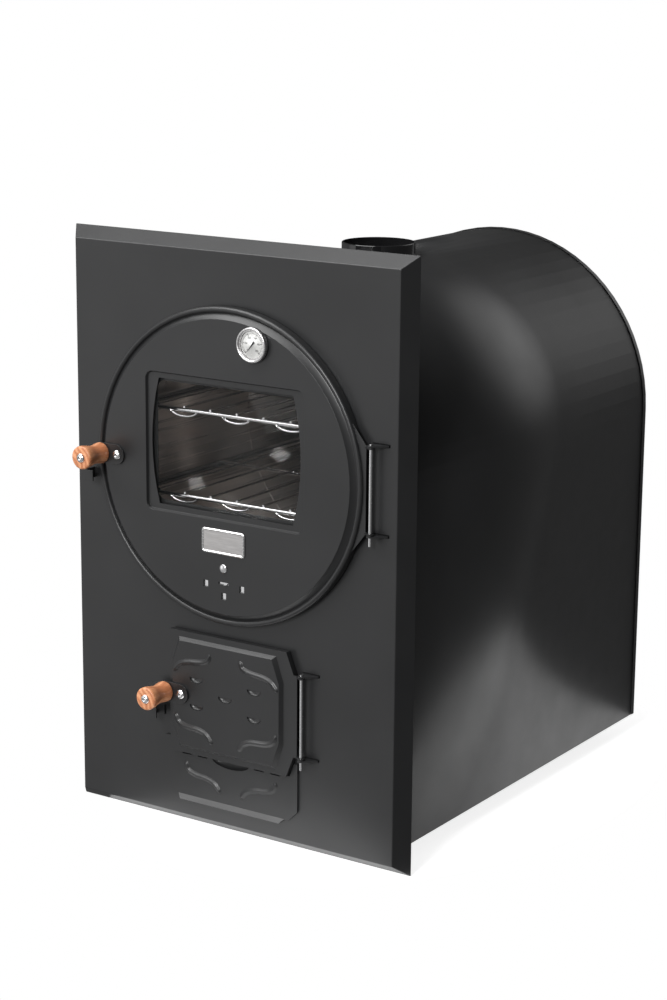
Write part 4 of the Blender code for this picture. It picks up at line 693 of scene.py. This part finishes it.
def make_screws():
    for prefix, body in (("oven", "oven_door"), ("fire", "fire_door")):
        lever_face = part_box(prefix + "_latch_lever")[0].y
        make_screw(prefix + "_pivot_screw", prefix + "_latch_pivot", lever_face - GAP, body, with_nut=True)
        bolt = prefix + "_latch_grip_screw"
        bolt_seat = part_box(bolt)[0].y + HEAD_HEIGHT
        make_screw(prefix + "_grip_bolt", bolt, bolt_seat, prefix + "_latch", with_nut=False)


# Turned wooden grips

GRIP_BORE = 3.4 * MM
GRIP_REAR, GRIP_WAIST, GRIP_FRONT = 15.6 * MM, 13.8 * MM, 17.4 * MM
GRIP_FOOT = 13.2 * MM                  # flat ring against the lever
REAR_ROUND, FRONT_ROUND = 2.2 * MM, 3.2 * MM
REAR_ANGLES, FRONT_ANGLES = (0.5, 1.0), (0.3, 0.6, 0.9, 1.2, 1.5)
WAIST_SHARE = 0.4                      # of the length, from the rear
GRIP_STEPS = 22
GROOVE = ((8.6 * MM, 0), (8.2 * MM, 0.5 * MM), (7.4 * MM, 0))  # ring round the screw: (radius, depth)


def grip_profile(length):
    """Rear end, waist and front end joined by half waves, with rounded rims."""
    profile = [(GRIP_BORE, 0), (GRIP_FOOT, 0)]
    for a in REAR_ANGLES:
        profile.append((GRIP_REAR - REAR_ROUND * (1 - math.sin(a)), REAR_ROUND * (1 - math.cos(a))))
    for i in range(GRIP_STEPS + 1):
        share = i / GRIP_STEPS
        if share < WAIST_SHARE:
            swing, end = share / WAIST_SHARE, GRIP_REAR
        else:
            swing, end = (1 - share) / (1 - WAIST_SHARE), GRIP_FRONT
        radius = end + (GRIP_WAIST - end) * (1 - math.cos(math.pi * swing)) / 2
        profile.append((radius, REAR_ROUND + (length - REAR_ROUND - FRONT_ROUND) * share))
    for a in FRONT_ANGLES:
        radius = GRIP_FRONT - FRONT_ROUND * (1 - math.cos(a))
        profile.append((radius, length - FRONT_ROUND * (1 - math.sin(a))))
    return profile + [(radius, length - depth) for radius, depth in GROOVE] + [(GRIP_BORE, length)]


def make_grips():
    for prefix in ("oven", "fire"):
        node = prefix + "_latch_grip"
        low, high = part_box(node)
        middle = (low + high) / 2
        profile = grip_profile(high.y - low.y)
        mesh = lathe(prefix + "_grip", profile, (middle.x, high.y, middle.z), count=64)
        grain = wood(prefix + "_grip_wood", middle)
        item = put(prefix + "_grip", mesh, grain, prefix + "_latch", sharp=50)
        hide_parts(node)


# Thermometer: case, scale and figures

CASE_DEPTH = 9 * MM
STEM_RADIUS, THREAD_RADIUS = 3.5 * MM, 5 * MM
THREAD_LENGTH = 19 * MM
BEZEL_SHAPE = (                        # (radius, height over the door) in mm, round the rim to the glass
    (22.8, 0.3), (24.8, 1.4), (25.5, 3), (25.5, 6.2), (25.2, 7.4), (24.5, 8.4), (23.4, 9), (22.4, 8.8),
)
LEDGE_WIDTH = 1.2 * MM                 # carries the lens round the dial
WELL_TOP, WELL_CHAMFER = 8 * MM, 0.4 * MM
CASE_SIDES = 72

FIRST_MARK, LAST_MARK = 225, -45       # degrees from the right, counterclockwise
MARKS, MARKS_A_FIGURE = 40, 8
MARK_OUTER, MARK_INNER, LONG_MARK_INNER = 17.6 * MM, 15.6 * MM, 14.2 * MM
MARK_HALF, LONG_MARK_HALF = 0.22 * MM, 0.38 * MM
INK_HEIGHT = 0.08 * MM
FIGURE_RADIUS, FIGURE_SIZE, FIGURE_STEP = 11 * MM, 3.6 * MM, 100
NEEDLE_CLEARANCE = 0.85 * MM           # from the needle's back to the dial's face
BLOCK_FACES = ((0, 1, 2, 3), (4, 5, 6, 7), (0, 1, 5, 4), (1, 2, 6, 5), (2, 3, 7, 6), (3, 0, 4, 7))


def make_gauge_case(centre_x, centre_z):
    low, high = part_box("thermometer_case")
    lens_low, lens_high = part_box("thermometer_lens")
    seat = low.y + CASE_DEPTH
    tail = seat - high.y
    well = (lens_high.x - lens_low.x) / 2 + GAP
    ledge = seat - lens_high.y - GAP
    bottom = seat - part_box("thermometer_dial")[1].y - GAP
    profile = [(0, tail), (STEM_RADIUS, tail + STEM_RADIUS), (STEM_RADIUS, -THREAD_LENGTH)]
    profile += [(THREAD_RADIUS, -THREAD_LENGTH), (THREAD_RADIUS, GAP)]
    profile += [(radius * MM, height * MM) for radius, height in BEZEL_SHAPE]
    profile += [(well + WELL_CHAMFER, WELL_TOP), (well, WELL_TOP - WELL_CHAMFER), (well, ledge)]
    profile += [(well - LEDGE_WIDTH, ledge), (well - LEDGE_WIDTH, bottom), (0, bottom)]
    mesh = lathe("gauge_case", profile, (centre_x, seat, centre_z), CASE_SIDES)
    item = put("gauge_case", mesh, BEZEL, "oven_door", sharp=40)
    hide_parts("thermometer_case")


def mark_direction(share):
    """Way from the dial's middle to the place at a share of the scale."""
    angle = math.radians(FIRST_MARK + (LAST_MARK - FIRST_MARK) * share)
    return Vector((math.cos(angle), 0, math.sin(angle)))


def make_marks(middle):
    work = bmesh.new()
    for i in range(MARKS + 1):
        out = mark_direction(i / MARKS)
        is_long = i % MARKS_A_FIGURE == 0
        side = Vector((-out.z, 0, out.x)) * (LONG_MARK_HALF if is_long else MARK_HALF)
        inner = LONG_MARK_INNER if is_long else MARK_INNER
        corners = []
        for y in (0, -INK_HEIGHT):
            for reach, across in ((inner, -1), (MARK_OUTER, -1), (MARK_OUTER, 1), (inner, 1)):
                corners.append(work.verts.new(middle + out * reach + side * across + Vector((0, y, 0))))
        for face in BLOCK_FACES:
            work.faces.new([corners[k] for k in face])
    bmesh.ops.recalc_face_normals(work, faces=work.faces)
    ticks = bpy.data.meshes.new("gauge_ticks")
    work.to_mesh(ticks)
    work.free()
    put("gauge_ticks", ticks, INK, "oven_door")


def make_figures(middle):
    figures = MARKS // MARKS_A_FIGURE
    for i in range(figures + 1):
        text = bpy.data.curves.new(f"gauge_figure_{i}", "FONT")
        text.body = str(i * FIGURE_STEP)
        text.size = FIGURE_SIZE
        text.align_x, text.align_y = "CENTER", "CENTER"
        text.extrude = INK_HEIGHT / 2
        text.materials.append(INK)
        item = bpy.data.objects.new(f"gauge_figure_{i}", text)
        item.location = middle + mark_direction(i / figures) * FIGURE_RADIUS - Vector((0, INK_HEIGHT / 2, 0))
        item.rotation_euler = (math.pi / 2, 0, 0)
        bpy.context.scene.collection.objects.link(item)
        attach(item, "oven_door")


def make_thermometer():
    low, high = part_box("thermometer_case")
    x, z = (low.x + high.x) / 2, (low.z + high.z) / 2
    make_gauge_case(x, z)
    face = Vector((x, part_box("thermometer_needle")[1].y + NEEDLE_CLEARANCE, z))
    make_marks(face)
    make_figures(face)


# Racks: round wires and the stop loops under their front rods

ROD, WIRE = 3 * MM, 1.8 * MM
ROD_CORNER = 8 * MM
CROSS_SHARE = 0.384                    # of the rack's depth, from the front
WIRE_SINK = 0.6 * MM                   # how far the wires sink into the rods where they are welded
WIRE_END = 0.5 * MM
LOOP_HALF, LOOP_SAG = 24 * MM, 9 * MM
LOOP_FORWARD = 2 * MM
BAYS = 4                               # bays on each side of the middle


def make_rack(node):
    low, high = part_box(node)
    z = low.z + ROD
    half = high.x - ROD
    front, rear = low.y + ROD, high.y - ROD
    cross = front + (rear - front) * CROSS_SHARE
    outline = rounded(0, (front + rear) / 2, half, (rear - front) / 2, ROD_CORNER, steps=5)
    pieces = [tube("frame", [(x, y, z) for x, y in outline], ROD, closed=True, sides=14)]
    pieces.append(tube("cross", [(-half, cross, z), (half, cross, z)], ROD, sides=14))
    top = z + ROD + WIRE - WIRE_SINK
    for i in range(1 - BAYS, BAYS):
        x = half * i / BAYS
        pieces.append(tube("wire", [(x, front - WIRE_END, top), (x, rear + WIRE_END, top)], WIRE))
    for x in (-half / 2, 0, half / 2):
        bow = [(px, front - LOOP_FORWARD, pz) for px, pz in squashed_arc(x, z, LOOP_HALF, LOOP_SAG)]
        pieces.append(tube("loop", bow, WIRE))
    work = bmesh.new()
    for mesh in pieces:
        work.from_mesh(mesh)
        bpy.data.meshes.remove(mesh)
    joined = bpy.data.meshes.new(node + "_wires")
    work.to_mesh(joined)
    work.free()
    item = put(node + "_wires", joined, CHROME, node, sharp=50)
    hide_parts(node)


def squashed_arc(x, z, half, sag):
    """Lower half of an ellipse."""
    return [(x + half * u, z - sag * v) for u, v in arc(0, 0, 1, 0, 180, 18)]


# Seams pressed into the drum

SEAM_RADIUS = 213 * MM
SEAM_PLACES = (-0.30, -0.06, 0.17)
SEAM_SHAPE = (                         # (towards the axis, along it) in mm
    (0.05, -2.5), (0.9, -1.2), (1.2, 0), (0.9, 1.2), (0.05, 2.5), (-0.3, 0),
)


def make_seams():
    profile = [(SEAM_RADIUS - depth * MM, along * MM) for depth, along in SEAM_SHAPE]
    for i, y in enumerate(SEAM_PLACES):
        mesh = lathe("drum_seam", profile, (0, y, OVEN_Z), count=96)
        put(f"drum_seam_{i}", mesh, LINING, "oven_body", sharp=60)


make_ribs()
make_badge_border()
make_screws()
make_grips()
make_thermometer()
for rack in ("upper_rack", "lower_rack"):
    make_rack(rack)
make_seams()
